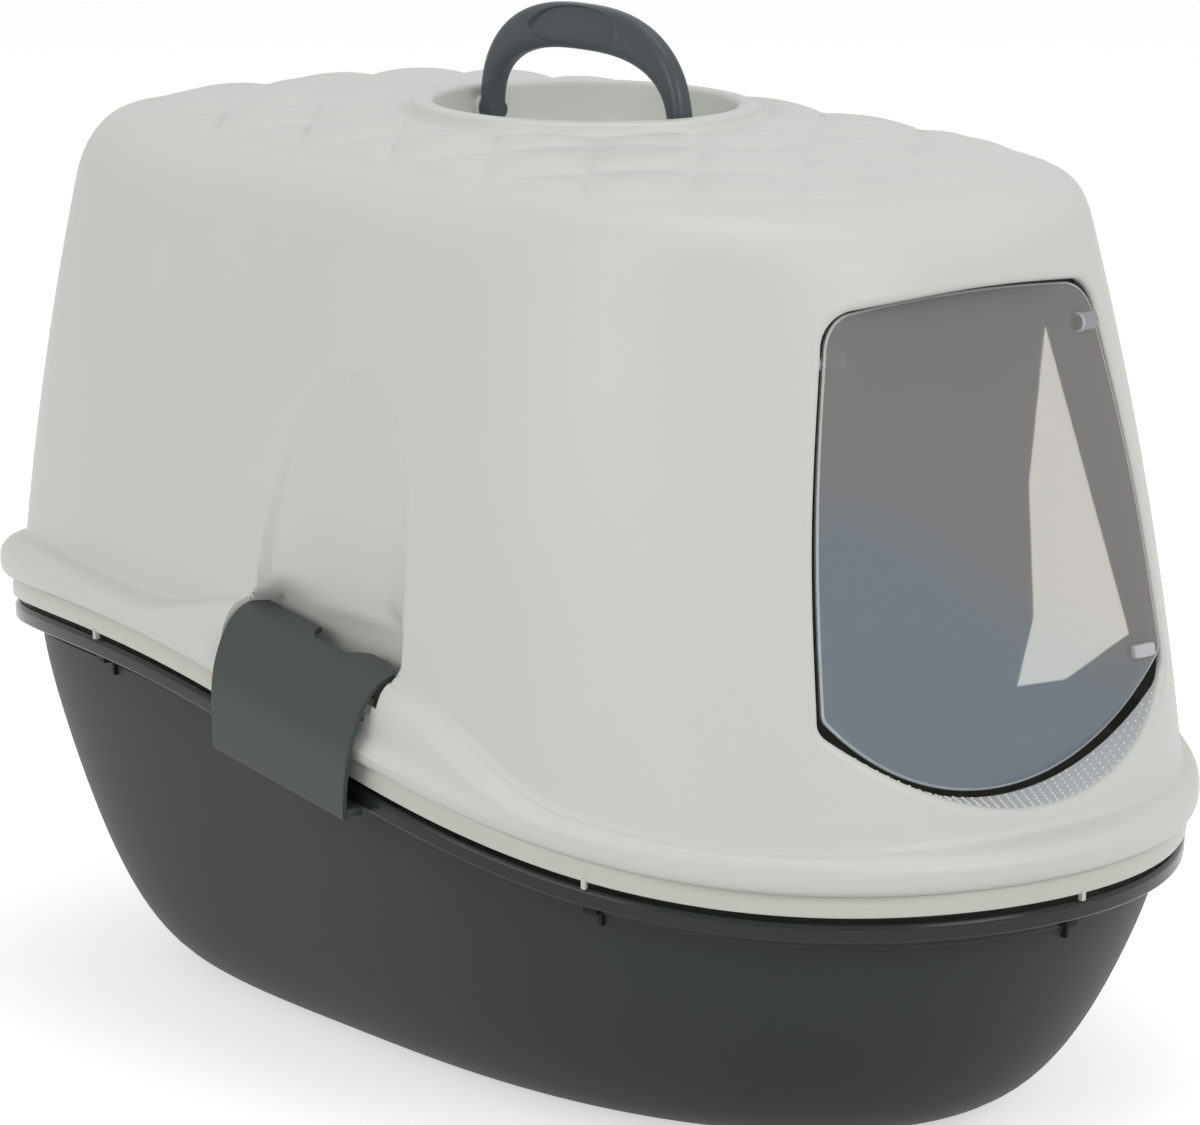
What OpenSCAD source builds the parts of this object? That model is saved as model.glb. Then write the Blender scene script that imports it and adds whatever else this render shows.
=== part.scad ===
// Hooded cat litter box: base tray, lift-out sieve tray, hood with a swinging
// flap, a folding carry handle and two side latches.
// Millimetres, +Z up, the door faces -Y, origin on the floor under the middle.

/* [Plan outline] */
// Widest width, at the hood's bead
body_w = 390; // [370:1:410]
// Longest length, at the hood's bead
body_l = 590; // [570:1:610]
// How far behind the middle the widest place lies
wide_y = 24; // [15:1:35]

/* [Rim line] */
// Height of the base rim's lower edge halfway up its wave
rim_z = 135.8; // [130:0.1:142]
// Height of the wave that the rim follows, front low and rear high
wave_h = 31; // [26:0.5:34]
// Length from the wave's lowest to its highest place
wave_l = 422; // [410:1:440]
// Where the wave crosses its middle
wave_y = -61; // [-70:1:-50]

/* [Walls] */
// Wall thickness of the hood
hood_wall = 2.6; // [2.2:0.1:3]
// Wall thickness of both trays
tray_wall = 2.5; // [2.2:0.1:3]

/* [Base tray] */
// How far the wall leans in, apart from the round at the foot
bowl_draft = 43.7; // [36:0.1:50]
// How far in the flat foot lies
foot_inset = 113; // [104:1:120]
// How full the round at the foot is
foot_round = 3.9; // [3.4:0.1:4.4]

/* [Hood] */
// Half width of the hood wall at its foot
hood_half_w = 179.5; // [176:0.1:181]
// Reach of the hood wall to the front at its foot
hood_front = 271.4; // [268:0.1:274]
// Reach of the hood wall to the rear at its foot
hood_rear = 288.4; // [284:0.1:290]
// Height at which those three are measured
hood_ref_z = 165; // [160:1:170]
// Height at which the roof's rounded edge starts
eave_z = 362; // [356:1:368]
// Height of the roof's crease line
crease_z = 390; // [386:1:394]
// Half width, front and rear reach of the crease line
crease = [122.6, 182.9, 255];
// Rise of the roof from the crease to the handle pocket
crown_h = 11; // [6:0.5:14]

/* [Door] */
// Half width of the opening at its widest, near the sill
door_half_w = 96.6; // [90:0.1:100]
// Sideways lean of the opening's sides, per mm of height
door_lean = 0.142; // [0.12:0.002:0.16]
// Height of the opening's top and of its lip, on the middle
door_top_z = 355; // [350:0.5:358]
door_lip_z = 150.8; // [149:0.1:153]
// Corner radii of the opening, top and bottom
door_r = [17, 8];
// Thickness of the surround's jamb
jamb = 2.6; // [2:0.1:3]
// Depth of the jamb beside the flap
jamb_deep = 13; // [11:0.5:16]

/* [Flap] */
// Height and depth of the flap's hinge axis
flap_axis = [-213, 331];
// Lean of the flap's sheet from upright, in degrees
flap_lean = 9.3; // [8:0.1:11]
// Sheet thickness
flap_t = 2; // [1.6:0.1:2.6]
// Distance of the sheet's front from the hinge axis
flap_reach = 6.1; // [5:0.1:7]
// Side gap between the flap and the opening
flap_gap = 3; // [2.5:0.1:4]

/* [Handle] */
// Middle of the handle and of its pocket
handle_y = 20; // [10:1:30]
// Height of the handle's hinge axis
handle_z = 396; // [394:0.5:398]
// Half span and rise of the arch, outside and inside
arch_out = [68, 52];
arch_in = [58.5, 32];
// Width of the grip across
grip_w = 10; // [8:0.5:12]
// Half axes of the pocket, across and along
pocket_in = [62, 71];
// Width of the raised ring round the pocket
ring_w = 9; // [7:0.5:10]
// Height of the ring's top and of the pocket's floor
ring_z = 406.5; // [404:0.5:408]
pocket_z = 384; // [382:0.5:386]

/* [Latches] */
// Middle of the latch along the side
latch_y = -18.5; // [-22:0.5:-15]
// Width of the latch along the side
latch_w = 95; // [85:1:96]
// Place of the latch hinge: from the middle, and height
latch_axis = [172, 190];
// Slope of the latch hinge, in degrees
latch_tilt = 8.3; // [7:0.1:10]
// Plate thickness
latch_t = 2.4; // [2:0.1:3]
// Height of the top of the recess's arch
recess_top = 310; // [290:1:320]
// Half width of the slot that the latch stands in
slot_half = 52; // [51:0.5:54]
// Height of the slot's ledge over the hood's lip
ledge_h = 7.5; // [7:0.1:9]
// Distance of the recess floor from the middle
recess_x = 159.5; // [157:0.5:161]

/* [Pins] */
// Radius of the flap pins, the handle pins and the latch pins
flap_pin_r = 2.5; // [2:0.1:3]
handle_pin_r = 3; // [2.5:0.1:3.5]
latch_pin_r = 2; // [1.8:0.1:2.4]
// Radial play of a pin that turns in its hole
play = 0.06; // [0.03:0.01:0.1]

/* [Hidden] */

hood_grey = [0.80, 0.80, 0.77];
band_grey = [0.74, 0.73, 0.69];
tray_grey = [0.24, 0.27, 0.26];
clip_grey = [0.34, 0.36, 0.36];
clear_grey = [0.70, 0.75, 0.78];

// Levels above the rim's lower edge, from the base flange up to the hood's lip
flange_z = 9.8;
band_z = 12.3;
band_step_z = 21.2;
sieve_top_z = 22.8;
lip_z = 21.5;
// Insets from the plan outline
skirt_in = 5.7;
band_in = 4.6;
step_in = 7.1;
lip_in = 6.8;
bowl_in = 12;
sieve_in = 15.8;
// Height of the roof at the pocket, and the hole that the pocket fills
roof_z = crease_z + crown_h;
hole = [pocket_in[0] + 4, pocket_in[1] + 4];

function sgn(v) = v < 0 ? -1 : 1;
function spow(v, p) = sgn(v) * pow(abs(v), p);
function mix(a, b, f) = a + (b - a) * f;
function step01(v) = let (c = max(0, min(1, v))) c * c * (3 - 2 * c);
function wave(y) = wave_h * sin(180 * (y - wave_y) / wave_l);
function rim(y) = rim_z + wave(y);

// A point of a superellipse: half width a, reach to front and rear b, one pair
// of exponents for the front half and one for the rear half, middle at y0
function egg(t, a, b, e, y0) =
    let (k = sin(t) < 0 ? 0 : 1)
    [a * spow(cos(t), 2 / e[k][0]), y0 + b[k] * spow(sin(t), 2 / e[k][1])];

// The plan outline that both trays and the hood's bead share
plan_e = [[2.0, 2.53], [3.3, 3.5]];
plan_front = body_l / 2 + wide_y;
plan_rear = body_l / 2 - wide_y;
function plan(t, inset) =
    egg(t, body_w / 2 - inset, [plan_front - inset, plan_rear - inset], plan_e, wide_y);

// Angles round the outline: columns stand at the edges of the latch slot and
// closely between and beside them, then evenly over the corners and ends
slot_front = wide_y - latch_y + slot_half;
slot_rear = slot_half - (wide_y - latch_y);
near_front = [for (d = [10, 22, 34, 47, 60, 72, 84, slot_front, slot_front + 4, slot_front + 14,
                        slot_front + 26, slot_front + 40])
              asin(pow(d / plan_front, plan_e[0][1] / 2))];
near_rear = [for (d = [slot_rear, slot_rear + 4, slot_rear + 14, slot_rear + 26])
             asin(pow(d / plan_rear, plan_e[1][1] / 2))];
half_turn = concat(
    [for (k = [0:11]) mix(-90, -near_front[11], k / 12)],
    [for (k = [11:-1:0]) -near_front[k]], [0], near_rear,
    [for (k = [1:12]) mix(near_rear[3], 90, k / 12)]);
angles = concat(half_turn, [for (k = [len(half_turn) - 2:-1:1]) 180 - half_turn[k]]);
count = len(angles);

// Joins rings of points into one closed skin. With capped, the first and the
// last ring are closed flat, otherwise the last ring joins the first.
module skin(rings, capped) {
    m = len(rings);
    sides = [for (i = [0:m - (capped ? 2 : 1)], j = [0:count - 1])
        let (i2 = (i + 1) % m, j2 = (j + 1) % count,
             a = i * count + j, b = i * count + j2,
             c = i2 * count + j2, d = i2 * count + j)
        each [[a, d, c], [a, c, b]]];
    ends = capped ? [[for (j = [0:count - 1]) j],
                     [for (j = [count - 1:-1:0]) (m - 1) * count + j]] : [];
    polyhedron(points = [for (r = rings) each r], faces = concat(sides, ends), convexity = 6);
}

// ---- Trays ----
// Inset of the bowl's wall at depth s, from 0 at the rim to 1 at the foot
function bowl_inset(s) =
    bowl_in + bowl_draft * s
    + (foot_inset - bowl_in - bowl_draft) * (1 - pow(1 - pow(s, foot_round), 1 / foot_round));
// A ring of the bowl, drawn in from the rim by its inset less a wall's offset
function bowl_ring(s, off, foot, top) =
    let (k = bowl_inset(s) - bowl_in)
    [for (t = angles)
        let (p = plan(t, bowl_in + off),
             x = p[0] * (1 - k / (body_w / 2 - bowl_in)),
             y = wide_y + (p[1] - wide_y) * (1 - 0.96 * k / (body_l / 2 - bowl_in)))
        [x, y, mix(rim(p[1]) + top, foot, s)]];
function rim_ring(inset, dz) =
    [for (t = angles) let (p = plan(t, inset)) [p[0], p[1], rim(p[1]) + dz]];
depths = [1, 0.99, 0.96, 0.9, 0.82, 0.7, 0.52, 0.3, 0.12, 0];

// Boat-shaped tray with a down-turned skirt round its rim
module base_tray() {
    wall_top = flange_z - 2.3;
    color(tray_grey)
    skin(concat(
        [for (s = depths) bowl_ring(s, 0, 0, 0)],
        [rim_ring(bowl_in, wall_top), rim_ring(skirt_in + 2.2, wall_top),
         rim_ring(skirt_in + 2.2, 0), rim_ring(skirt_in, 0),
         rim_ring(skirt_in, flange_z - 2.6), rim_ring(skirt_in + 1.8, flange_z),
         rim_ring(bowl_in + tray_wall, flange_z)],
        [for (k = [len(depths) - 1:-1:0]) bowl_ring(depths[k], tray_wall, tray_wall, 0)]),
        true);
}

// Sieve tray that nests in the base; its rim shows as a band under the hood
module sieve_tray() {
    inset = sieve_in - bowl_in;
    floor_z = tray_wall + 1.5;
    color(band_grey)
    difference() {
        skin(concat(
            [for (s = depths) bowl_ring(s, inset, floor_z, 0)],
            [rim_ring(sieve_in, sieve_top_z - 2.2), rim_ring(step_in + 2, sieve_top_z - 2.2),
             rim_ring(band_in + 2.2, band_z), rim_ring(band_in, band_z),
             rim_ring(band_in, band_step_z), rim_ring(step_in, band_step_z),
             rim_ring(step_in, sieve_top_z), rim_ring(sieve_in + tray_wall, sieve_top_z)],
            [for (k = [len(depths) - 1:-1:0])
                bowl_ring(depths[k], inset + tray_wall, floor_z + tray_wall, 0)]),
            true);
        translate([0, 0, floor_z - 1])
        linear_extrude(tray_wall + 2)
        for (i = [-4:4], j = [-8:8])
            translate([i * 14, wide_y + j * 18]) square([4, 12], center = true);
    }
}

// ---- Hood ----
// A point of a superellipse about y = 0 that stands level with a plan point:
// the same y along the sides, drawn in to the reaches in b over the ends
function level_with(yp, lo, a, b, e) =
    let (f = body_l / 2,
         y = yp < 0 ? yp + (f - b[0]) * step01((-yp - lo) / (f - lo))
                    : yp - (f - b[1]) * step01((yp - lo) / (f - lo)),
         k = y < 0 ? 0 : 1)
    [a * pow(max(0, 1 - pow(min(1, abs(y) / b[k]), e[k][1])), 1 / e[k][0]), y];
// The hood's wall beside plan point p at height z, less an offset
function wall_at(p, z, off) =
    let (h = (z - hood_ref_z) / 100, f = 0.09 * h, r = 0.12 * h,
         q = level_with(p[1], 110, hood_half_w - 8 * h - 3.86 * h * h - off,
             [hood_front - 19 * h - 2.09 * h * h - off, hood_rear - 9 * h - 1.47 * h * h - off],
             [[2.36 + f, 2.69 + f], [3.81 + r, 4.07 + r]]))
    [sgn(p[0]) * q[0], q[1]];
// The shoulder's rise beside the latch, 0 to 1, and the shoulder's height
function lobe(y) = step01((130 - abs(y + 30)) / 80);
function shoulder_h(y) = mix(22, 28, step01((y + 100) / 200)) + 22 * lobe(y);
// How much of the latch recess a place on the side has, 0 to 1: a slot at the
// foot that narrows to an arch above the latch
function recess_share(y, z) =
    let (up = min(1, max(0, z - latch_axis[1] - 15) / (recess_top - latch_axis[1] - 15)),
         half = slot_half * pow(1 - pow(up, 1.8), 1 / 1.8))
    half < 0.5 ? 0 : step01((half + 4 - abs(y - latch_y)) / 4);
function recessed(p, z, off) =
    let (m = recess_share(p[1], z), x = min(abs(p[0]), recess_x - off))
    [sgn(p[0]) * mix(abs(p[0]), x, m), p[1]];
// A ring of the bead and shoulder: share w of the way from the plan outline to
// the wall, at height dz over the lip, of which the share tall rises at the latch
function shoulder_ring(inset, w, dz, tall, off) =
    [for (t = angles)
        let (p = plan(t, inset), z0 = rim(p[1]) + lip_z,
             m = recess_share(p[1], 0),
             rise = dz > 10 ? dz / 22 * mix(22, 28, step01((p[1] + 100) / 200)) : dz,
             full = rise + tall * 22 * lobe(p[1]),
             ledge = min(dz, ledge_h - off),
             z = z0 + mix(full, w == 1 ? full : w > 0.7 ? (ledge + full) / 2 : ledge, m),
             q = recessed(wall_at(p, z0 + full, off), z, off),
             x = abs(mix(p[0], q[0], w < 0.5 ? w : mix(w, 1, m))) - (dz > 5 && w < 0.3 ? 2 * m : 0))
        [sgn(p[0]) * x, mix(p[1], q[1], w), z]];
function wall_ring(f, off) =
    [for (t = angles)
        let (p = plan(t, 0), foot = rim(p[1]) + lip_z + shoulder_h(p[1]), z = mix(foot, eave_z, f),
             q = recessed(wall_at(p, z, off), z, off))
        [q[0], q[1], z]];
function crease_at(p, off) =
    let (q = level_with(p[1], 20, crease[0] - off, [crease[1] - off, crease[2] - off], [[3.7, 3.7], [4, 4]]))
    [sgn(p[0]) * q[0], q[1]];
function eave_ring(a, off) =
    [for (t = angles)
        let (p0 = plan(t, 0), p = mix(wall_at(p0, eave_z, off), crease_at(p0, off / 2), 1 - cos(a)))
        [p[0], p[1], eave_z + (crease_z - eave_z - off) * sin(a)]];
function roof_ring(f, off) =
    [for (t = angles)
        let (c = crease_at(plan(t, 0), off / 2), d = atan2(c[1] - handle_y, c[0]),
             h = [hole[0] * cos(d), handle_y + hole[1] * sin(d)], p = mix(c, h, f))
        [p[0], p[1], crease_z - off + crown_h * (1 - pow(1 - f, 1.6))]];

// One thin shell: bead, shoulder, wall with latch recesses, rounded eave, roof
module hood_shell() {
    // inset, share of the way to the wall, height over the lip, share of the rise
    out = [[3.9, 0, 0, 0], [1.6, 0, 2.2, 0], [0, 0, 5.5, 0], [0, 0, 10.9, 1], [0, 0.12, 14, 1],
           [0, 0.35, 16.2, 1], [0, 0.62, 17.8, 1], [0, 0.85, 19.4, 1], [0, 1, 22, 1]];
    in = [[hood_wall, 1, 20, 1], [hood_wall, 0.8, 17, 1], [hood_wall, 0.5, 14.6, 1],
          [hood_wall, 0.22, 12.4, 1], [hood_wall, 0, 10, 1], [hood_wall + 2, 0, 4.4, 0]];
    shares = [for (k = [1:13]) k / 13];
    bends = [20, 38, 56, 74, 90];
    color(hood_grey)
    difference() {
        skin(concat(
            [for (r = out) shoulder_ring(r[0], r[1], r[2], r[3], 0)],
            [for (f = shares) wall_ring(f, 0)],
            [for (a = bends) eave_ring(a, 0)],
            [for (f = [0.3, 0.65, 1]) roof_ring(f, 0)],
            [for (f = [1, 0.65, 0.3]) roof_ring(f, hood_wall)],
            [for (k = [4:-1:0]) eave_ring(bends[k], hood_wall)],
            [for (k = [12:-1:0]) wall_ring(shares[k], hood_wall)],
            [for (r = in) shoulder_ring(r[0], r[1], r[2], r[3], hood_wall)],
            [rim_ring(9.4, lip_z + 4), rim_ring(9.4, lip_z + 1.6),
             rim_ring(lip_in, lip_z + 1.6), rim_ring(lip_in, lip_z)]),
            false);
        translate([0, -140, 0]) rotate([90, 0, 0])
            linear_extrude(170) polygon(door_outline(jamb));
    }
}

// ---- Door ----
// Front of the hood's wall at a place of the opening
function face_y(x, z) =
    let (h = (z - hood_ref_z) / 100, f = 0.09 * h,
         a = hood_half_w - 8 * h - 3.86 * h * h, b = hood_front - 19 * h - 2.09 * h * h)
    -b * pow(1 - pow(abs(x) / a, 2.36 + f), 1 / (2.69 + f));
// Outline of the opening, grown by e: a top arch, leaning sides and a round lip
door_slant = atan(door_lean);
door_ct = [door_half_w - door_lean * (door_top_z - 20.5 - 192) - door_r[0] - 0.3, door_top_z - 20.5];
door_cb = [door_half_w - door_r[1], 192.8];
lip_drop = door_lip_z - door_cb[1];
lip_r = (pow(door_cb[0], 2) + pow(lip_drop, 2) - pow(door_r[1], 2)) / (-2 * (door_r[1] + lip_drop));
lip_a = atan2(door_cb[1] - door_lip_z - lip_r, door_cb[0]);
function arc(c, r, a0, a1, n) =
    [for (k = [0:n]) let (a = mix(a0, a1, k / n)) [c[0] + r * cos(a), c[1] + r * sin(a)]];
function door_half(e) =
    let (top = arc(door_ct, door_r[0] + e, 86, door_slant, 6),
         low = arc(door_cb, door_r[1] + e, door_slant, lip_a, 5))
    concat([for (k = [0:4]) let (x = k * top[0][0] / 5)
                [x, door_top_z + e - (door_top_z + e - top[0][1]) * pow(k / 5, 2)]],
           top, [for (k = [1:6]) mix(top[6], low[0], k / 7)], low,
           [for (k = [1:10]) let (a = mix(lip_a, -90, k / 10))
                [(lip_r + e) * cos(a), door_lip_z + lip_r + (lip_r + e) * sin(a)]]);
function mirrored(h) = [for (k = [len(h) - 2:-1:1]) [-h[k][0], h[k][1]]];
function door_outline(e) = let (h = door_half(e)) concat(h, mirrored(h));
function flap_y(z) = flap_axis[0] - flap_reach / cos(flap_lean) - (flap_axis[1] - z) * tan(flap_lean);

// Jamb and sill round the opening, from the hood's face in to the flap
module door_surround() {
    inner = door_outline(0);
    outer = door_outline(jamb);
    n = len(inner);
    half = (n + 2) / 2;
    last_side = 17;
    function beside(k) = let (j = k < half ? k : n - k) j >= 5 && j <= last_side;
    back = [for (k = [0:n - 1])
        let (p = inner[k], f = face_y(p[0], p[1]))
        beside(k) ? f + jamb_deep : max(flap_y(p[1]) - 3.6, f + 3)];
    front = [for (k = [0:n - 1]) face_y(inner[k][0], inner[k][1])];
    color(hood_grey)
    difference() {
        polyhedron(
            points = concat(
                [for (k = [0:n - 1]) [outer[k][0], front[k] + 0.3, outer[k][1]]],
                [for (k = [0:n - 1]) [inner[k][0], front[k] + 0.3, inner[k][1]]],
                [for (k = [0:n - 1]) [inner[k][0], back[k], inner[k][1]]],
                [for (k = [0:n - 1]) [outer[k][0], back[k], outer[k][1]]]),
            faces = [for (r = [0:3], k = [0:n - 1])
                let (r2 = (r + 1) % 4, k2 = (k + 1) % n,
                     a = r * n + k, b = r * n + k2, c = r2 * n + k2, d = r2 * n + k)
                each [[a, b, c], [a, c, d]]],
            convexity = 6);
        for (s = [-1, 1])
            translate([s * 60, flap_axis[0], flap_axis[1]]) rotate([0, s * 90, 0])
                cylinder(r = flap_pin_r + play, h = 40, $fn = 32);
    }
}

// Half width of the flap at height z, and the flap's outline in its own plane
function flap_half(z) = door_half_w - door_lean * (z - 192) - flap_gap;
flap_top_z = door_top_z - 9;
flap_low_z = door_lip_z + 2.8;
module flap_frame() {
    translate([0, flap_axis[0], flap_axis[1]]) rotate([-flap_lean, 0, 0]) children();
}
function flap_half_outline() =
    let (c = cos(flap_lean), z0 = flap_axis[1],
         rt = 12, rb = 6,
         ct = [flap_half(flap_top_z - rt) - rt, flap_top_z - rt],
         cb = [flap_half(196) - rb, 196],
         drop = flap_low_z - cb[1],
         r = (pow(cb[0], 2) + pow(drop, 2) - rb * rb) / (-2 * (rb + drop)),
         a = atan2(cb[1] - flap_low_z - r, cb[0]),
         pts = concat([[0, flap_top_z]], arc(ct, rt, 90, door_slant, 6),
                      arc(cb, rb, door_slant, a, 5),
                      [for (k = [1:8]) let (b = mix(a, -90, k / 8))
                          [r * cos(b), flap_low_z + r + r * sin(b)]]))
    [for (p = pts) [p[0], (p[1] - z0) / c]];

// Clear flap with an ear at each top corner and a stop lug at the lower right one
module door_flap() {
    half = flap_half_outline();
    ear_x = flap_half(flap_axis[1]) - 1;
    color(clear_grey)
    flap_frame()
    difference() {
        union() {
            translate([0, -flap_reach + flap_t, 0]) rotate([90, 0, 0])
                linear_extrude(flap_t) polygon(concat(half, mirrored(half)));
            for (s = [-1, 1]) {
                translate([s * (ear_x - 7), 0, 0]) rotate([0, s * 90, 0])
                    cylinder(r = 4.5, h = 7, $fn = 32);
                translate([s * (ear_x - 3.5), -flap_reach / 2 + 0.2, 0])
                    cube([7, flap_reach - 0.4, 9], center = true);
            }
            translate([flap_half(200) - 9, -flap_reach - 1, (195 - flap_axis[1]) / cos(flap_lean)])
                cube([13, 3, 6], center = true);
        }
        for (s = [-1, 1])
            translate([s * (ear_x - 12), 0, 0]) rotate([0, s * 90, 0])
                cylinder(r = flap_pin_r, h = 20, $fn = 32);
    }
}

// Clear pin with a round head inside the ear; it turns in the jamb
module flap_pin(s) {
    ear_x = flap_half(flap_axis[1]) - 1;
    color(clear_grey)
    translate([s * (ear_x - 8.5), flap_axis[0], flap_axis[1]]) rotate([0, s * 90, 0]) {
        cylinder(r = 4, h = 1.5, $fn = 32);
        cylinder(r = flap_pin_r, h = 14.4, $fn = 32);
    }
}

// ---- Handle ----
function oval(a, b, n) = [for (k = [0:n - 1]) [a * cos(360 * k / n), b * sin(360 * k / n)]];
// Cup let into the roof, with a raised ring and a boss for each handle pin
module handle_pocket() {
    wall = 2.6;
    boss_r = handle_pin_r + 2.5;
    ends = pocket_in[1];
    color(hood_grey)
    translate([0, handle_y, 0])
    difference() {
        union() {
            translate([0, 0, pocket_z - wall]) linear_extrude(ring_z - pocket_z + wall)
                difference() {
                    polygon(oval(pocket_in[0] + wall, ends + wall, 64));
                    polygon(oval(pocket_in[0], ends, 64));
                }
            translate([0, 0, pocket_z - wall]) linear_extrude(wall)
                polygon(oval(pocket_in[0] + wall, ends + wall, 64));
            translate([0, 0, roof_z]) linear_extrude(ring_z - roof_z)
                difference() {
                    polygon(oval(pocket_in[0] + ring_w, ends + ring_w, 64));
                    polygon(oval(pocket_in[0] + wall / 2, ends + wall / 2, 64));
                }
            for (s = [-1, 1])
                translate([0, s * (ends - 2.4), handle_z]) rotate([s * -90, 0, 0])
                    cylinder(r = boss_r, h = 5, $fn = 32);
        }
        for (s = [-1, 1])
            translate([0, s * (ends - 10), handle_z]) rotate([s * -90, 0, 0])
                cylinder(r = handle_pin_r + play, h = 20, $fn = 32);
    }
}

// Arched carry handle: round feet, slim legs and a deeper grip
module handle() {
    foot_r = 6.5;
    foot_y = (arch_out[0] + arch_in[0]) / 2;
    leg = arch_out[0] - arch_in[0];
    function rib(size, e, a) = [size[0] * spow(cos(a), 2 / e), size[1] * spow(sin(a), 2 / e)];
    color(clip_grey)
    translate([0, handle_y, handle_z])
    difference() {
        union() {
            rotate([90, 0, 90]) translate([0, 0, -grip_w / 2]) linear_extrude(grip_w)
                polygon(concat([for (k = [0:36]) rib(arch_out, 2.5, 5 * k)],
                               [for (k = [36:-1:0]) rib(arch_in, 2.6, 5 * k)]));
            for (s = [-1, 1])
                translate([0, s * foot_y - leg / 2, 0]) rotate([-90, 0, 0])
                    cylinder(r = foot_r, h = leg, $fn = 40);
        }
        for (s = [-1, 1])
            translate([0, s * foot_y - 10, 0]) rotate([-90, 0, 0])
                cylinder(r = handle_pin_r, h = 20, $fn = 32);
    }
}

module handle_pin(s) {
    start = arch_in[0];
    color(clip_grey)
    translate([0, handle_y + s * start, handle_z]) rotate([s * -90, 0, 0])
        cylinder(r = handle_pin_r, h = pocket_in[1] + 2.4 - start, $fn = 32);
}

// ---- Latches ----
// The latch is drawn for the right side, its hinge along its own Y axis
module on_side(s) {
    mirror([s < 0 ? 1 : 0, 0, 0])
        translate([latch_axis[0], latch_y, latch_axis[1]]) rotate([latch_tilt, 0, 0]) children();
}
// Outside of the plate from the hinge: a quarter of a superellipse over the
// shoulder with half axes plate about plate_c, then a leg that turns in
plate = [26.6, 38.5];
plate_c = [-0.8, -28];
plate_foot = -48.4;
function plate_line(t) = concat(
    [[-6, plate_c[1] + plate[1] - t - 0.5]],
    [for (a = [90:-7.5:0])
        [plate_c[0] + (plate[0] - t) * pow(cos(a), 0.93), plate_c[1] + (plate[1] - t) * pow(sin(a), 0.93)]],
    [for (k = [1:4])
        [plate_c[0] + plate[0] - t - 3.1 * pow(k / 4, 2), mix(plate_c[1], plate_foot, k / 4)]]);
function reversed(l) = [for (k = [len(l) - 1:-1:0]) l[k]];
module along_hinge(y0, y1) {
    translate([0, y1, 0]) rotate([90, 0, 0]) linear_extrude(y1 - y0) children();
}

// Curved plate with two hinge barrels under its top and a lip that hooks
// under the base's rim at the high end
module latch(s) {
    half = latch_w / 2;
    top = plate_c[1] + plate[1];
    lip = [16.7, 22.4];
    color(clip_grey)
    union() {
        intersection() {
            on_side(s) difference() {
                along_hinge(-half - 9, half + 9)
                    polygon(concat(plate_line(0), reversed(plate_line(latch_t))));
                translate([-9, -21.5, 2]) cube([12.5, 31, 12]);
                translate([1.5, -half - 1, 2]) rotate([0, 0, 30]) translate([-30, -20, 0]) cube([30, 34, 12]);
            }
            translate([-250, latch_y - half, 0]) cube([500, latch_w, 300]);
        }
        on_side(s) {
        for (b = [[-37, 15.5], [9.5, 25]])
            difference() {
                union() {
                    along_hinge(b[0], b[0] + b[1]) circle(r = 4.6, $fn = 40);
                    translate([-4, b[0], 2]) cube([8, b[1], top - latch_t - 1.6]);
                }
                along_hinge(b[0] - 1, b[0] + b[1] + 1) circle(r = latch_pin_r + play, $fn = 32);
            }
        translate([lip[0], 15, plate_foot]) cube([lip[1] - lip[0], 22, 2]);
        }
    }
}

// Three lugs that stand on the recess's ledge and hold the latch pin
module latch_seat(s) {
    color(hood_grey)
    on_side(s)
    for (b = [[-44, 6.5], [-9, 6], [35, 7]])
        difference() {
            union() {
                along_hinge(b[0], b[0] + b[1]) circle(r = 4.2, $fn = 40);
                ledge = rim(latch_y + b[0] + b[1] / 2) + lip_z + ledge_h - latch_axis[1]
                        - (b[0] + b[1] / 2) * tan(latch_tilt);
                translate([-4.2, b[0], ledge - 1.5]) cube([8.4, b[1], 1.5 - ledge]);
            }
            along_hinge(b[0] - 1, b[0] + b[1] + 1) circle(r = latch_pin_r, $fn = 32);
        }
}

module latch_pin(s) {
    color(clip_grey)
    on_side(s) along_hinge(-44, 42) circle(r = latch_pin_r, $fn = 32);
}

base_tray();
sieve_tray();
hood_shell();
door_surround();
door_flap();
flap_pin(-1);  // flap_pin_left
flap_pin(1);  // flap_pin_right
handle_pocket();
handle();
handle_pin(-1);  // handle_pin_front
handle_pin(1);  // handle_pin_rear
latch_seat(-1);  // latch_seat_left
latch_seat(1);  // latch_seat_right
latch(-1);  // latch_left
latch(1);  // latch_right
latch_pin(-1);  // latch_pin_left
latch_pin(1);  // latch_pin_right
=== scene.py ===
import math

import bpy
import numpy as np
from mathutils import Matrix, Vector


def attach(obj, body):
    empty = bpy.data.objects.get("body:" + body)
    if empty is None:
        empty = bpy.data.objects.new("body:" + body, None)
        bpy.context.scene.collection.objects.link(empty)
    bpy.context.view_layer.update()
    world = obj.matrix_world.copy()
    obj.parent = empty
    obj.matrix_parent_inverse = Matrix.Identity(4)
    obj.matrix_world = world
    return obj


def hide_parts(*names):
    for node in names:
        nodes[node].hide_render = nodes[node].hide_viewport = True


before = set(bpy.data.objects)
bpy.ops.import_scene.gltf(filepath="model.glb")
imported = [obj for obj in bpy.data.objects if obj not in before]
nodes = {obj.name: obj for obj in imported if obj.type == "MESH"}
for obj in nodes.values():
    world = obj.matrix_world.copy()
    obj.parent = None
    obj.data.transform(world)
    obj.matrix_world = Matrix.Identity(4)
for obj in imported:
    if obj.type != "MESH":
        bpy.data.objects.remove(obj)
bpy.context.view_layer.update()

# ---- Camera ----
# A long lens from the front left, a little above the roof, so that the left side
# and the door both show.
LOOK_AT = Vector((0.0, 0.0, 0.16506))
LOOK_FROM = (-40.18, 13.44, 2.29627)
turn, rise, distance = math.radians(LOOK_FROM[0]), math.radians(LOOK_FROM[1]), LOOK_FROM[2]
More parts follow.
